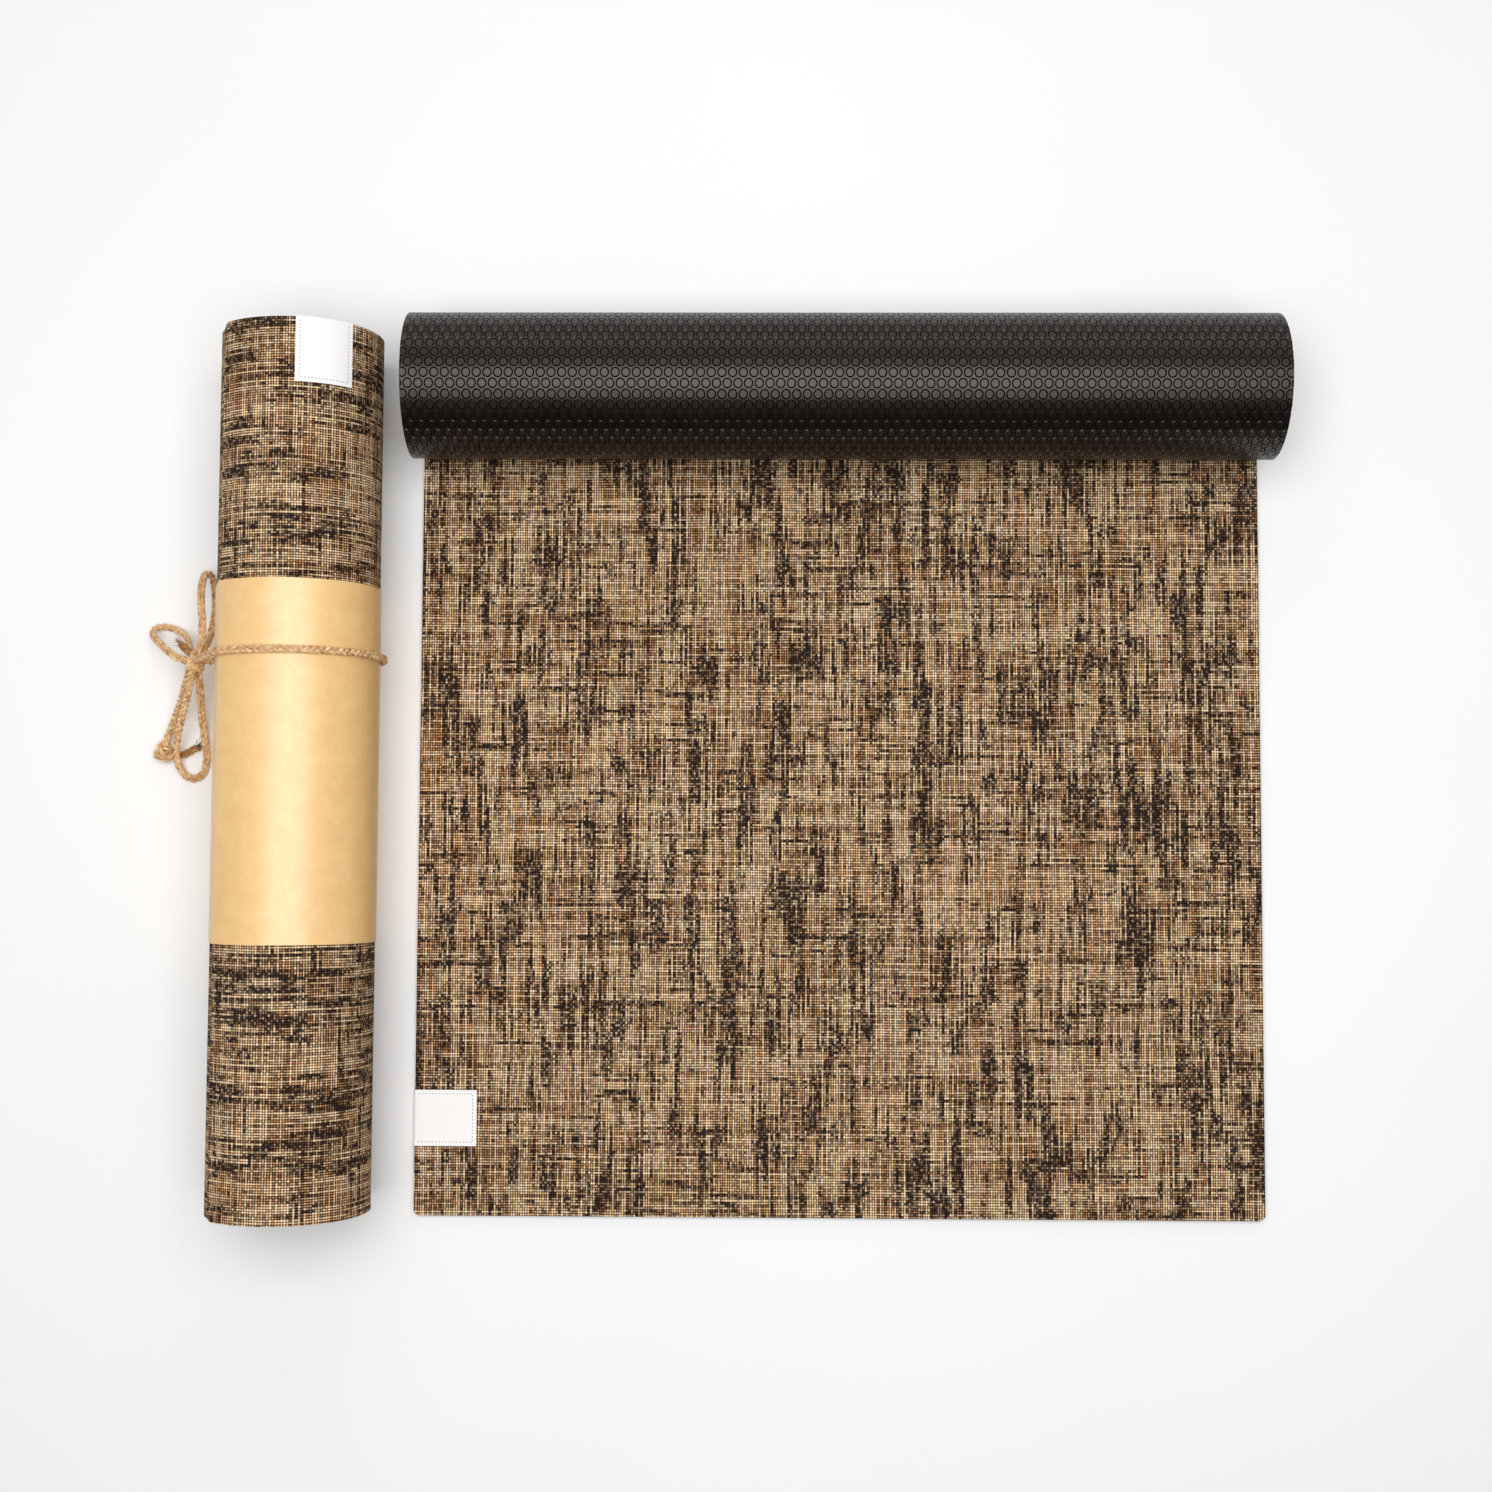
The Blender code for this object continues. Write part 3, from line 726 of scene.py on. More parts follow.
def woven_jute(add):
    """Woven jute: two ways of unevenly dyed threads on a dark ground; painted shade
    where they dip.
    """
    lay = add("UVMap", {}, uv_map=CHART)
    drift = add("TexNoise", {"Vector": lay, "Scale": per_metre(83),
                             "Detail": 2.0}, out=1, noise_dimensions="2D")
    drift = add("VectorMath", {0: drift, 1: (0.5, 0.5, 0.5)}, operation="SUBTRACT")
    moved = add("VectorMath", {0: drift, 1: (DRIFT, DRIFT, 0.0), 2: lay},
                operation="MULTIPLY_ADD")
    rates = (1 / WARP_PITCH, 1 / WEFT_PITCH, 1.0)
    counted = add("VectorMath", {0: moved, 1: rates}, operation="MULTIPLY")
    across = add("SeparateXYZ", {"Vector": counted})
    along = across.node.outputs[1]
    over, warp_high, warp_face, warp_tone = thread_nodes(add, across, along, WARP)
    under, weft_high, weft_face, weft_tone = thread_nodes(add, along, across, WEFT)
    upper = add("Math", {0: weft_high, 1: warp_high}, operation="GREATER_THAN")
    yarn = add("Mix", {0: upper, 6: warp_face, 7: weft_face}, out=2, data_type="RGBA")
    threads = add("VectorMath", {0: counted}, operation="FLOOR")
    warps = add("SeparateXYZ", {"Vector": threads})
    wefts = warps.node.outputs[1]
    long_dark = streak_nodes(add, warps, wefts, warp_tone, WARP)
    cross_dark = streak_nodes(add, wefts, warps, weft_tone, WEFT)
    dark = add("Math", {0: long_dark, 1: cross_dark}, operation="MAXIMUM")
    speck = add("TexWhiteNoise", {"Vector": threads})
    speck = add("MapRange", {"Value": speck, 3: SPECK[0], 4: SPECK[1]})
    dark = add("Math", {0: dark, 1: CHAR_MOST, 2: speck}, use_clamp=True,
               operation="MULTIPLY_ADD")
    yarn = add("Mix", {0: dark, 6: yarn, 7: colour(CHAR)}, out=2, data_type="RGBA")
    # Painted shade: where a thread dips between crossings, its colour is drawn towards
    # the hole colour.
    solid = add("Math", {0: over, 1: under}, operation="MAXIMUM")
    both = add("Math", {0: over, 1: under}, operation="MULTIPLY")
    lit = add("MapRange", {"Value": both, 3: DIP_SHADE, 4: 1.0})
    solid = add("Math", {0: solid, 1: lit}, operation="MULTIPLY")
    face = add("Mix", {0: solid, 6: colour(HOLE), 7: yarn}, out=2, data_type="RGBA")
    top = add("Math", {0: warp_high, 1: weft_high}, operation="MAXIMUM")
    bump = add("Bump", {"Strength": 0.5, "Distance": 0.0004, "Height": top})
    return {"Base Color": face, "Roughness": 0.9, "Specular IOR Level": 0.12,
            "Normal": bump}


WEAVE_FINISH = finish("woven_jute_plain_weave", woven_jute)

# %% [markdown]
# ## Finish: dimpled foam
# The base is closed-cell foam, embossed by a hot roller, which leaves a thin skin with
# a fine grain and a soft shine. The grain is about 0.3 mm; it is drawn at 0.6 mm so
# that it shows.

# %% The foam's material


def embossed_foam(add):
    """Embossed foam: nearly black, half matt, with a fine pebbled skin."""
    place = add("TexCoord", {}, out=3)
    grain = add("TexNoise", {"Vector": place, "Scale": per_metre(0.6), "Detail": 2.0})
    patches = add("TexNoise", {"Vector": place, "Scale": per_metre(17), "Detail": 3.0})
    face = add("ValToRGB", {"Fac": patches}, stops=((0.3, "#0e0a08"), (0.7, "#17110e")))
    dull = add("MapRange", {"Value": grain, 3: 0.25, 4: 0.39})
    bump = add("Bump", {"Strength": 0.25, "Distance": 0.0002, "Height": grain})
    return {"Base Color": face, "Roughness": dull, "Normal": bump, "IOR": 1.5,
            "Specular Tint": colour("#fff1e9")}


FOAM_FINISH = finish("embossed_closed_cell_foam", embossed_foam)

# %% [markdown]
# ## How a sheet is wound
# A mat is cut flat, so it is made flat: each vertex knows how far it has run along
# the mat, how far across it lies and how high it stands in the thickness. One
# function turns those three numbers into a place. On the open mat the run goes along
# the floor and then up, over and round, foam outward; on the rolled one it starts at
# the free edge and winds inward, jute outward.

# %% Places on the open and on the rolled mat
TURN_STEPS, CORNER_STEPS, SHEET_COLUMNS, FLAT_ROW = 72, 5, 24, 0.02
CORNER_CLEAR = 1.5 * MAT_CORNER
STRAY, STRAY_RATE, OPEN_STRAY, ROLLED_STRAY = 0.0011, 5.0, 1.5, 7.5


def stray(run, seed):
    """How far a wrap lies off its neighbour's end: no roll is wound quite true."""
    return STRAY * noise.noise((run * STRAY_RATE, seed, 0.5))


def open_place(run, across, height):
    """A point of the open mat: flat at first, then up, over and round, foam outward."""
    if run <= FLAT_LENGTH:
        return placed(across, run, height)
    angle = angle_at(OPEN_RADIUS, run - FLAT_LENGTH)
    out = radius_at(OPEN_RADIUS, angle) - height
    off = stray(run, OPEN_STRAY) * min(1.0, (run - FLAT_LENGTH) / OPEN_RADIUS)
    along = FLAT_LENGTH + out * sin(angle)
    return placed(across + off, along, OPEN_RADIUS - out * cos(angle))


def rolled_place(run, across, height):
    """A point of the rolled mat: round and inward from its free edge, jute outward."""
    angle = angle_at(ROLLED_RADIUS, run)
    out = radius_at(ROLLED_RADIUS, angle) - (JUTE_HIGH - height)
    return round_axis(out, angle, ROLLED_MIDDLE - across + stray(run, ROLLED_STRAY))


def corner_runs():
    """How far from the mat's end each row of a rounded corner lies."""
    turns = [pi / 2 * step / CORNER_STEPS for step in range(CORNER_STEPS + 1)]
    return [MAT_CORNER * (1 - cos(turn)) for turn in turns]


def half_width(run):
    """Half the mat's width here, less where a corner is rounded."""
    inside = min(run, MAT_LENGTH - run)
    if inside >= MAT_CORNER:
        return MAT_WIDTH / 2
    return MAT_WIDTH / 2 - MAT_CORNER + sqrt(MAT_CORNER**2 - (MAT_CORNER - inside) ** 2)


def wound_runs(radius, start):
    """Where the rows of a wound sheet lie: one each step of its turns, to its end."""
    step = tau / TURN_STEPS
    count = int(angle_at(radius, MAT_LENGTH - start) / step)
    ends = [MAT_LENGTH - run for run in reversed(corner_runs())]
    whole = [start + run_at(radius, step * index) for index in range(count + 1)]
    return [run for run in whole if run < ends[0] - MAT_CORNER] + ends


def sheet(runs, heights, place, offset):
    """One layer of the mat between its low and its high face, charted and wound."""
    mesh = thicken(grid(len(runs) - 1, SHEET_COLUMNS))

    def share(column, row):
        return half_width(runs[row]) * (2 * column / SHEET_COLUMNS - 1), runs[row]

    def on_chart(co):
        across, run = share(round(co.x), round(co.y))
        return across + offset[0], run + offset[1]

    def spot(column, row, side):
        across, run = share(column, row)
        return place(run, across, heights[side])

    chart(mesh, on_chart)
    return facing_out(put(mesh, spot))


def layer(name, part, cloth, node, offset=(0.0, 0.0)):
    """One layer of a mat as a piece, in place of this solid."""
    (runs, place, body), (heights, material, slot) = part, cloth
    return piece(name, sheet(runs, heights, place, offset), material, body, slot, node)


middle_runs = [FLAT_ROW * row for row in range(1, int(FLAT_LENGTH / FLAT_ROW))]
flat_runs = [*corner_runs(), *middle_runs, FLAT_LENGTH - GAP]
open_runs = wound_runs(OPEN_RADIUS, FLAT_LENGTH)
past_corner = [run for run in wound_runs(ROLLED_RADIUS, 0.0) if run > CORNER_CLEAR]
rolled_runs = corner_runs() + past_corner
FLAT = flat_runs, open_place, "open_mat"
ROLL = open_runs, open_place, "open_roll"
ROLLED = rolled_runs, rolled_place, "rolled_mat"
print(len(flat_runs), "rows flat,", len(open_runs), "and", len(rolled_runs), "wound")

# %% The jute faces
OTHER_CLOTH = (0.9, 2.6)
JUTE_CLOTH = (JUTE_LOW, JUTE_HIGH), WEAVE_FINISH, "jute_weave"


def gather(made):
    """Gives a flat piece a mesh of its own."""
    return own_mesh(made)


jute_flat = layer("open_weave_flat", FLAT, JUTE_CLOTH, "open_jute_flat")
gather(jute_flat)
jute_roll = layer("open_weave_roll", ROLL, JUTE_CLOTH, "open_jute_roll")
rolled_jute = layer("rolled_weave", ROLLED, JUTE_CLOTH, "rolled_jute", OTHER_CLOTH)

# %% [markdown]
# ## The foam and its buttons
# The roller presses round buttons into the foam, in staggered rows 7.3 mm apart. Each
# button has a narrow groove round it, and the web between the grooves forms a net of
# hexagons. One cell is made from circles joined by bridge_loops; two rows of it are
# copied along and across, welded, cut to the mat's width and wound with the foam.
#
# Round the roll the buttons are seen close. There the groove's wall is steep, and a
# shoulder leads from it to a flat top: seen at a slant, that shoulder catches the light
# as a thin crescent. Weighted normals keep the shine of the tops flat. This skin comes
# in two halves, to keep the faces of each in bounds; the skin under the flat part,
# which hardly shows, has a plainer cell.

# %% The foam's two layers
BUTTON_ACROSS, BUTTON_ROW = 0.0073, 0.00735
HEXAGON = 2 / 3 * BUTTON_ROW
GROOVE, SHOULDER, TOP = 0.0008, 0.0004, 0.0
SKIN_DEPTH, SLAB_UNDER = 0.0011, 0.0009
SKIN_IN, SPARE_CELLS = 0.0001, 3
SKIN_HALF = MAT_WIDTH / 2 - SKIN_IN


def everything(mesh):
    """All of a bmesh, as its operators want it."""
    return mesh.verts[:] + mesh.edges[:] + mesh.faces[:]


def loop_of(mesh, sides, width, length, height):
    """An open ring of vertices, wider one way than the other, at this height."""
    size = Matrix.Diagonal((width, length, 1.0, 1.0))
    place = Matrix.Translation((0.0, 0.0, height)) @ size
    made = bmesh.ops.create_circle(mesh, segments=sides, radius=1.0, matrix=place)
    return made["verts"]


def bridge(mesh, outer, inner):
    """Joins two rings of vertices by faces."""
    rings = [edge for ring in (outer, inner) for edge in mesh.edges
             if set(edge.verts) <= set(ring)]
    bmesh.ops.bridge_loops(mesh, edges=rings)


def cell(sides, rings):
    """One cell of the embossed skin: a hexagon, rings inside it and a button."""
    mesh = bmesh.new()
    outer = loop_of(mesh, 6, BUTTON_ACROSS / sqrt(3), HEXAGON, TOP)
    for width, length, height in rings:
        inner = loop_of(mesh, sides, width, length, height)
        bridge(mesh, outer, inner)
        outer = inner
    edges = [edge for edge in mesh.edges if set(edge.verts) <= set(outer)]
    bmesh.ops.contextual_create(mesh, geom=edges)
    return mesh


def repeated(mesh, step, count):
    """Copies what is in a mesh so many times along a step, and welds the copies."""
    whole = everything(mesh)
    for index in range(1, count):
        copied = new_verts(bmesh.ops.duplicate(mesh, geom=whole))
        bmesh.ops.translate(mesh, verts=copied, vec=Vector(step) * index)
    bmesh.ops.remove_doubles(mesh, verts=mesh.verts[:], dist=WELD)
    return mesh


def skin(cells, rows, start, place):
    """An embossed skin of staggered rows, cut to the width and sunk at its edges."""
    mesh = repeated(cells, (BUTTON_ACROSS / 2, BUTTON_ROW, 0.0), 2)
    across = int(MAT_WIDTH / BUTTON_ACROSS) + SPARE_CELLS
    repeated(mesh, (BUTTON_ACROSS, 0.0, 0.0), across)
    repeated(mesh, (0.0, 2 * BUTTON_ROW, 0.0), rows // 2)
    middle = (across - 1) / 2 * BUTTON_ACROSS
    bmesh.ops.translate(mesh, verts=mesh.verts[:], vec=(-middle, 0.0, 0.0))
    for side in (-1, 1):
        bmesh.ops.bisect_plane(mesh, geom=everything(mesh), clear_outer=True,
                               plane_co=(side * SKIN_HALF, 0, 0), plane_no=(side, 0, 0))
    rim = [edge for edge in mesh.edges if edge.is_boundary]
    for vert in new_verts(bmesh.ops.extrude_edge_only(mesh, edges=rim)):
        vert.co.z = SKIN_DEPTH
    for vert in mesh.verts:
        vert.co = place(start + vert.co.y, vert.co.x, vert.co.z)
    bmesh.ops.recalc_face_normals(mesh, faces=mesh.faces[:])
    return mesh


print(f"a cell is {1000 * BUTTON_ACROSS:.2f} x {1000 * BUTTON_ROW:.2f} mm")

# %% The foam under the flat part
SMALL_CELL = [(0.0031, 0.0035, GROOVE), (0.0026, 0.0029, TOP)]
LARGE_CELL = [(0.0034, 0.0038, TOP), (0.0031, 0.0035, GROOVE),
              (0.0028, 0.00312, SHOULDER), (0.0024, 0.0027, TOP)]
SMALL_SIDES, LARGE_SIDES = 6, 10
FLAT_ROWS, ROLL_ROWS = 80, 22
SLAB = (SLAB_UNDER, FOAM), FOAM_FINISH, "dimpled_foam"

foam_flat = layer("open_foam_base", FLAT, SLAB, "open_foam_flat")
buttons_flat = piece(
    "open_foam_buttons",
    skin(cell(SMALL_SIDES, SMALL_CELL), FLAT_ROWS, HEXAGON, open_place),
    FOAM_FINISH, "open_mat", "dimpled_foam",
)
for made in (foam_flat, buttons_flat):
    gather(made)

# %% The foam round the rolls
WHOLE_FOAM = (0.0, FOAM), FOAM_FINISH, "dimpled_foam"

foam_roll = layer("open_foam_wraps", ROLL, SLAB, "open_foam_roll")
for half, name in enumerate(("open_roll_buttons_under", "open_roll_buttons_over")):
    start = FLAT_LENGTH + HEXAGON + half * ROLL_ROWS * BUTTON_ROW
    mesh = skin(cell(LARGE_SIDES, LARGE_CELL), ROLL_ROWS, start, open_place)
    made = piece(name, mesh, FOAM_FINISH, "open_roll", "dimpled_foam")
    made.modifiers.new("flat_tops", "WEIGHTED_NORMAL").keep_sharp = True
rolled_foam = layer("rolled_foam_wraps", ROLLED, WHOLE_FOAM, "rolled_foam")

# %% [markdown]
# ## Finish: white cotton tape
# The label is a piece of close white cotton tape, folded over the mat's edge and
# sewn down. Its ribs are 0.5 mm apart; they are drawn at 0.8 mm to show at all. It
# carries no name here.

# %% The tape's and the thread's materials
WAVES = 20 / tau  # a wave texture's bands to the metre at a scale of 1


def cotton_tape(add):
    """White cotton tape: fine ribs both ways and a faint unevenness."""
    lay = add("UVMap", {}, uv_map=CHART)
    ribs, cross = [
        add("TexWave", {"Vector": lay, "Scale": per_metre(0.8) / WAVES,
                        "Distortion": 0.6}, bands_direction=way)
        for way in "XY"
    ]
    cloth = add("Math", {0: ribs, 1: cross}, operation="ADD")
    patches = add("TexNoise", {"Vector": lay, "Scale": per_metre(8), "Detail": 3.0})
    face = add("ValToRGB", {"Fac": patches}, stops=((0.3, "#fbf8f7"), (0.7, "#fdfbfa")))
    bump = add("Bump", {"Strength": 0.3, "Distance": 0.0001, "Height": cloth})
    return {"Base Color": face, "Roughness": 0.75, "Normal": bump}


def sewing_thread(add):
    """Sewing thread: white polyester drawn grey, painted shade of its needle holes;
    slightly shiny, unevenly grey by its twist.
    """
    place = add("TexCoord", {}, out=3)
    twist = add("TexNoise", {"Vector": place, "Scale": per_metre(0.45), "Detail": 1.0})
    face = add("ValToRGB", {"Fac": twist}, stops=((0.35, "#6d6d75"), (0.65, "#909098")))
    return {"Base Color": face, "Roughness": 0.5}


TAPE_FINISH = finish("white_cotton_tape", cotton_tape)
# The stitches' grey is painted shade: the thread is white, and the grey stands for the
# shade of its needle holes.
STITCH_SHADE_FINISH = finish("sewing_thread_painted_hole_shade", sewing_thread)

# %% [markdown]
# ## The labels
# The tape lies on the jute, turns down over the mat's edge, and is held by a row of
# stitches along its three free sides, which draw the cloth down a little. It is made
# flat as the mat is, from a profile of places across, and wound with it.

# %% The labels and their stitches
LABEL_ACROSS, LABEL_ALONG, LABEL_CLOTH = 0.045, 0.040, 0.0006
OPEN_LABEL, ROLLED_LABEL = 0.0495, 0.0575
LABEL_ROWS, LABEL_TOP, LABEL_TURN, LABEL_DOWN = 48, 54, 5, 3
SEAM_START, SEAM_IN, SEAM_SINK, SEAM_SPREAD = 0.0020, 0.0029, 0.00025, 0.0008
STITCH_PITCH, STITCH_LONG, STITCH_WIDE, STITCH_HIGH = 0.0024, 0.0008, 0.00045, 0.00025
LABEL_EDGE, LABEL_BEND = -(MAT_WIDTH / 2 + GAP), 0.0012


def label_profile(column):
    """Across the label: the place of its under face, and the way that it faces."""
    inner, low = LABEL_EDGE + LABEL_BEND, JUTE_HIGH + GAP
    if column <= LABEL_TOP:
        return inner + (LABEL_ACROSS - LABEL_BEND) * (1 - column / LABEL_TOP), low, 0, 1
    if column <= LABEL_TOP + LABEL_TURN:
        turn = pi / 2 * (column - LABEL_TOP) / LABEL_TURN
        out, up = -sin(turn), cos(turn)
        return inner + LABEL_BEND * out, low - LABEL_BEND + LABEL_BEND * up, out, up
    down = (column - LABEL_TOP - LABEL_TURN) / LABEL_DOWN
    return LABEL_EDGE, (low - LABEL_BEND) * (1 - down) + GAP * down, -1, 0


def seam_sink(across, along):
    """How far the stitches draw the cloth down at this place on the label."""
    near = min(LABEL_ACROSS - across, along, LABEL_ALONG - along) - SEAM_IN
    return SEAM_SINK * max(0.0, 1 - abs(near) / SEAM_SPREAD)


def label(name, setback, place, body, node):
    """A cloth label, folded over the mat's edge at this setback along it."""
    mesh = thicken(grid(LABEL_ROWS, LABEL_TOP + LABEL_TURN + LABEL_DOWN))
    step = LABEL_ACROSS / LABEL_TOP, LABEL_ALONG / LABEL_ROWS
    chart(mesh, lambda co: (step[0] * co.x, step[1] * co.y))

    def spot(column, row, side):
        across, height, out, up = label_profile(column)
        along = LABEL_ALONG * row / LABEL_ROWS
        sink = seam_sink(across - LABEL_EDGE, along) if up == 1 else 0.0
        thick = (LABEL_CLOTH - sink) * side
        return place(setback + along, across + out * thick, height + up * thick)

    mesh = facing_out(put(mesh, spot))
    return piece(name, mesh, TAPE_FINISH, body, "label_cotton", node)


def seam_places():
    """Every stitch of a label: its place across and along, and the way that it runs."""
    inner, far = LABEL_ACROSS - SEAM_IN, LABEL_ALONG - SEAM_IN
    corners = (SEAM_START, SEAM_IN), (inner, SEAM_IN), (inner, far), (SEAM_START, far)
    corners = [Vector(corner) for corner in corners]
    made = []
    for start, end in zip(corners, corners[1:]):
        count = int((end - start).length / STITCH_PITCH)
        way = (end - start).normalized()
        for index in range(count):
            made.append((start.lerp(end, (index + 0.5) / count), way))
    return made


def stitches(name, setback, place, body):
    """The sewing thread of a label: a small rounded stitch at each place."""
    mesh = bmesh.new()
    for middle, way in seam_places():
        verts = bmesh.ops.create_icosphere(mesh, subdivisions=1, radius=1.0)["verts"]
        for vert in verts:
            flat = middle + way * vert.co.x * STITCH_LONG
            flat += Vector((-way.y, way.x)) * vert.co.y * STITCH_WIDE
            top = JUTE_HIGH + GAP + LABEL_CLOTH - SEAM_SINK
            height = top + vert.co.z * STITCH_HIGH
            vert.co = place(setback + flat.y, LABEL_EDGE + flat.x, height)
    bmesh.ops.recalc_face_normals(mesh, faces=mesh.faces[:])
    return piece(name, mesh, STITCH_SHADE_FINISH, body, "label_cotton")


for kind, setback, place, body, under in (
    ("open", OPEN_LABEL, open_place, "open_mat", "open_jute_flat"),
    ("rolled", ROLLED_LABEL, rolled_place, "rolled_mat", "rolled_jute"),
):
    made = label(kind + "_tape_label", setback, place, body, kind + "_label")
    sewn = stitches(kind + "_label_stitches", setback, place, body)

# %% [markdown]
# ## Finish: kraft card
# Kraft is unbleached paper pulp, pressed smooth: a warm yellow brown with long dark
# and short pale fibres in it, 0.4 mm wide as drawn, and a cloudy unevenness some 13 mm
# across where the pulp lay thicker. It is left bare here, with nothing printed on it.

# %% The card's material


def pulp_fibres(add, lay, face, turned, size, code):
    """Draws fibres of one colour over a face: gives their noise, and the new face."""
    wide, long = size
    laid = add("Mapping", {"Vector": lay, "Rotation": (0, 0, radians(turned)),
                           "Scale": (per_metre(wide), per_metre(long), 1.0)})
    fibres = add("TexNoise", {"Vector": laid, "Scale": 1.0, "Detail": 2.0},
                 noise_dimensions="2D")
    shown = add("MapRange", {"Value": fibres, 1: 0.62, 2: 0.75, 4: 0.25})
    face = add("Mix", {0: shown, 6: face, 7: colour(code)}, out=2, data_type="RGBA")
    return fibres, face


def kraft_card(add):
    """Bare kraft card: cloudy tan, fine fibres both lighter and darker."""
    lay = add("UVMap", {}, uv_map=CHART)
    clouds = add("TexNoise", {"Vector": lay, "Scale": per_metre(13.3),
                              "Detail": 5.0, "Roughness": 0.6}, noise_dimensions="2D")
    face = add("ValToRGB", {"Fac": clouds},
               stops=((0.3, "#f3c684"), (0.5, "#f7cb89"), (0.7, "#fad08f")))
    long, face = pulp_fibres(add, lay, face, 63, (0.38, 4.2), "#b98a4d")
    _, face = pulp_fibres(add, lay, face, -28, (0.48, 2.6), "#fff0c9")
    bump = add("Bump", {"Strength": 0.12, "Distance": 0.0001, "Height": long})
    return {"Base Color": face, "Roughness": 0.4, "Specular IOR Level": 1.0,
            "Normal": bump}


KRAFT_FINISH = finish("bare_kraft_card", kraft_card)

# %% [markdown]
# ## The sleeve
# One strip of card goes round the roll, hugs it and bridges the step at the free
# edge. It is glued to itself low on the side of the open mat, where it lies double.

# %% The sleeve
SLEEVE_STEPS, SLEEVE_ROWS = 144, 20
LAP_START, LAP_END, LAP_THICK = radians(176), radians(188), 0.6 * CARD


def sleeve():
    """The card tube, with a lap where its end is glued over its start."""
    mesh = grid(SLEEVE_ROWS, SLEEVE_STEPS)
    around = tau * ROLLED_RADIUS / SLEEVE_STEPS
    along = SLEEVE_LENGTH / SLEEVE_ROWS
    chart(mesh, lambda co: (around * co.x, along * co.y))
    thicken(mesh)
    ends = [face for face in mesh.faces if len({vert.co.x for vert in face.verts}) == 1]
    bmesh.ops.delete(mesh, geom=ends, context="FACES")

    def spot(turn, row, side):
        angle = tau * turn / SLEEVE_STEPS
        lap = LAP_THICK if LAP_START < angle < LAP_END else 0.0
        out = hugging_radius(angle) + SLEEVE_EASE + (CARD + lap) * side
        return round_axis(out, angle, SLEEVE_NEAR + SLEEVE_LENGTH * row / SLEEVE_ROWS)

    put(mesh, spot)
    bmesh.ops.remove_doubles(mesh, verts=mesh.verts[:], dist=WELD)
    return facing_out(mesh)


card = piece(
    "kraft_sleeve", sleeve(), KRAFT_FINISH, "sleeve", "kraft_card", "paper_sleeve"
)

# %% [markdown]
# ## The floor and the light
# A plain white floor carries the shadow. The gloss on the foam shows how the
# photograph was lit: a wide soft panel overhead, about as wide as it is high, more
# light from the far side and hardly any from the near side. A panel lamp, a weaker
# one beyond the rolls and a faint even world give that.
#
# Panels light only the floor near the mats, and a photographer's white sweep would go
# on white behind them. So, for what the camera itself sees, the paper turns from lit
# to evenly white as it gets further away. That adds no light to the mats.

# %% The floor
FLOOR_HALF, FLOOR_DROP = 20.0, 0.0004
LIT_WITHIN, EVEN_BEYOND, EVEN_WHITE = 0.7, 1.5, 0.95


def floor_paper(add):
    """Matt white paper: lit near the mats, evenly white to the camera far from them."""
    place = add("TexCoord", {}, out=3)
    patches = add("TexNoise", {"Vector": place, "Scale": per_metre(330), "Detail": 2.0})
    paper = add("ValToRGB", {"Fac": patches},
                stops=((0.3, "#fafafa"), (0.7, "#fcfcfc")))
    away = add("VectorMath", {0: place}, out=1, operation="LENGTH")
    far = add("MapRange", {"Value": away, 1: LIT_WITHIN, 2: EVEN_BEYOND},
              interpolation_type="SMOOTHSTEP")
    seen = add("LightPath", {})
    even = add("Math", {0: far, 1: seen}, operation="MULTIPLY")
    face = add("Mix", {0: even, 6: paper, 7: colour("#000000")}, out=2,
               data_type="RGBA")
    glow = add("Math", {0: even, 1: EVEN_WHITE}, operation="MULTIPLY")
    return {"Base Color": face, "Roughness": 0.9, "Emission Color": colour("#ffffff"),
            "Emission Strength": glow}


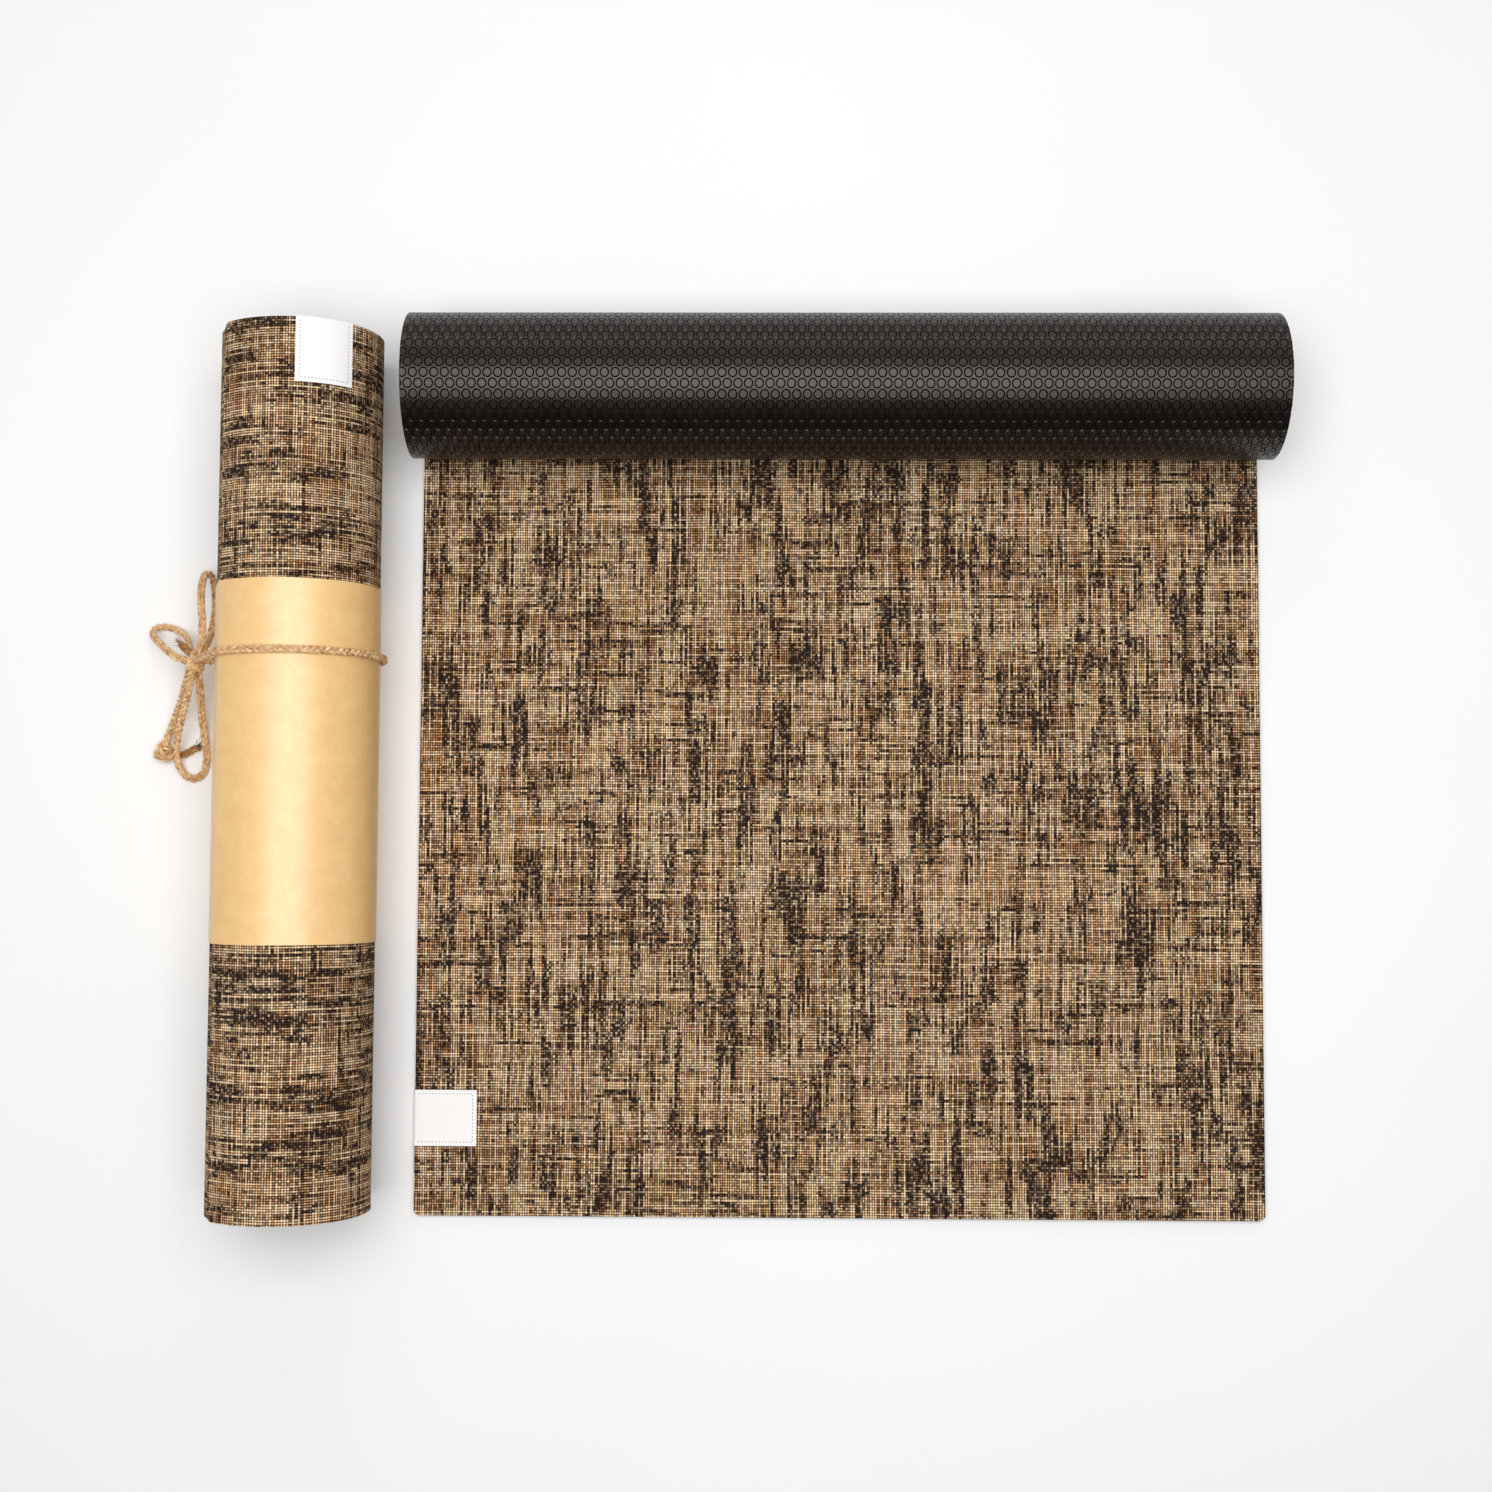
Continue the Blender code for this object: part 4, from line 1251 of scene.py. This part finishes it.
mesh = bmesh.new()
bmesh.ops.create_grid(mesh, x_segments=1, y_segments=1, size=FLOOR_HALF)
bmesh.ops.translate(mesh, verts=mesh.verts[:], vec=(0, 0, -FLOOR_DROP))
floor = in_scene("floor", mesh_data("floor", mesh))
floor.data.materials.append(finish("matt_white_floor_paper", floor_paper))
print("the floor is", 2 * FLOOR_HALF, "m wide")

# %% The lamps and the world
WORLD_LEVEL, NEAR_LEVEL, FAR_LEVEL = 0.21, 0.03, 0.55
NEAR_FROM, FAR_FROM = -0.5, 0.3
MIRRORED = "Is Glossy Ray", "Is Transmission Ray"


def panel(name, place, towards, size, power):
    """A soft rectangular lamp that faces a point and isn't itself seen."""
    data = bpy.data.lights.new(name, "AREA")
    data.shape, (data.size, data.size_y), data.energy = "RECTANGLE", size, power
    made = in_scene(name, data)
    made.location, way = place, Vector(towards) - Vector(place)
    made.rotation_euler = way.to_track_quat("-Z", "Y").to_euler()
    made.visible_camera = False
    print(f"{name}: {power} W over {size[0]} x {size[1]} m")


panel("panel_overhead", place=(0.0, 0.08, 2.0), towards=(0.0, 0.08, 0.0),
      size=(1.9, 1.6), power=39.5)
panel("panel_far", place=(0.0, 2.4, 1.3), towards=(0.0, 0.2, 0.0),
      size=(2.6, 1.2), power=9.0)


def world_light():
    """A faint even light; gloss sees it pale on the far side, and the camera white."""
    world = bpy.data.worlds.new("studio")
    bpy.context.scene.world = world
    world.use_nodes = True
    tree = world.node_tree
    add = partial(add_node, tree)
    way = add("TexCoord", {})
    side = add("SeparateXYZ", {"Vector": way}, out=1)
    pale = add("MapRange", {"Value": side, 1: NEAR_FROM, 2: FAR_FROM,
                            3: NEAR_LEVEL, 4: FAR_LEVEL})
    seen = add("LightPath", {})
    glossy, through = [seen.node.outputs[name] for name in MIRRORED]
    mirrored = add("Math", {0: glossy, 1: through}, operation="MAXIMUM")
    level = add("Mix", {0: mirrored, 2: WORLD_LEVEL, 3: pale})
    level = add("Mix", {0: seen, 2: level, 3: 1.0})
    fill(tree.nodes["Background"], {"Color": colour("#ffffff"), "Strength": level})


world_light()
bpy.context.scene.view_settings.view_transform = "Standard"
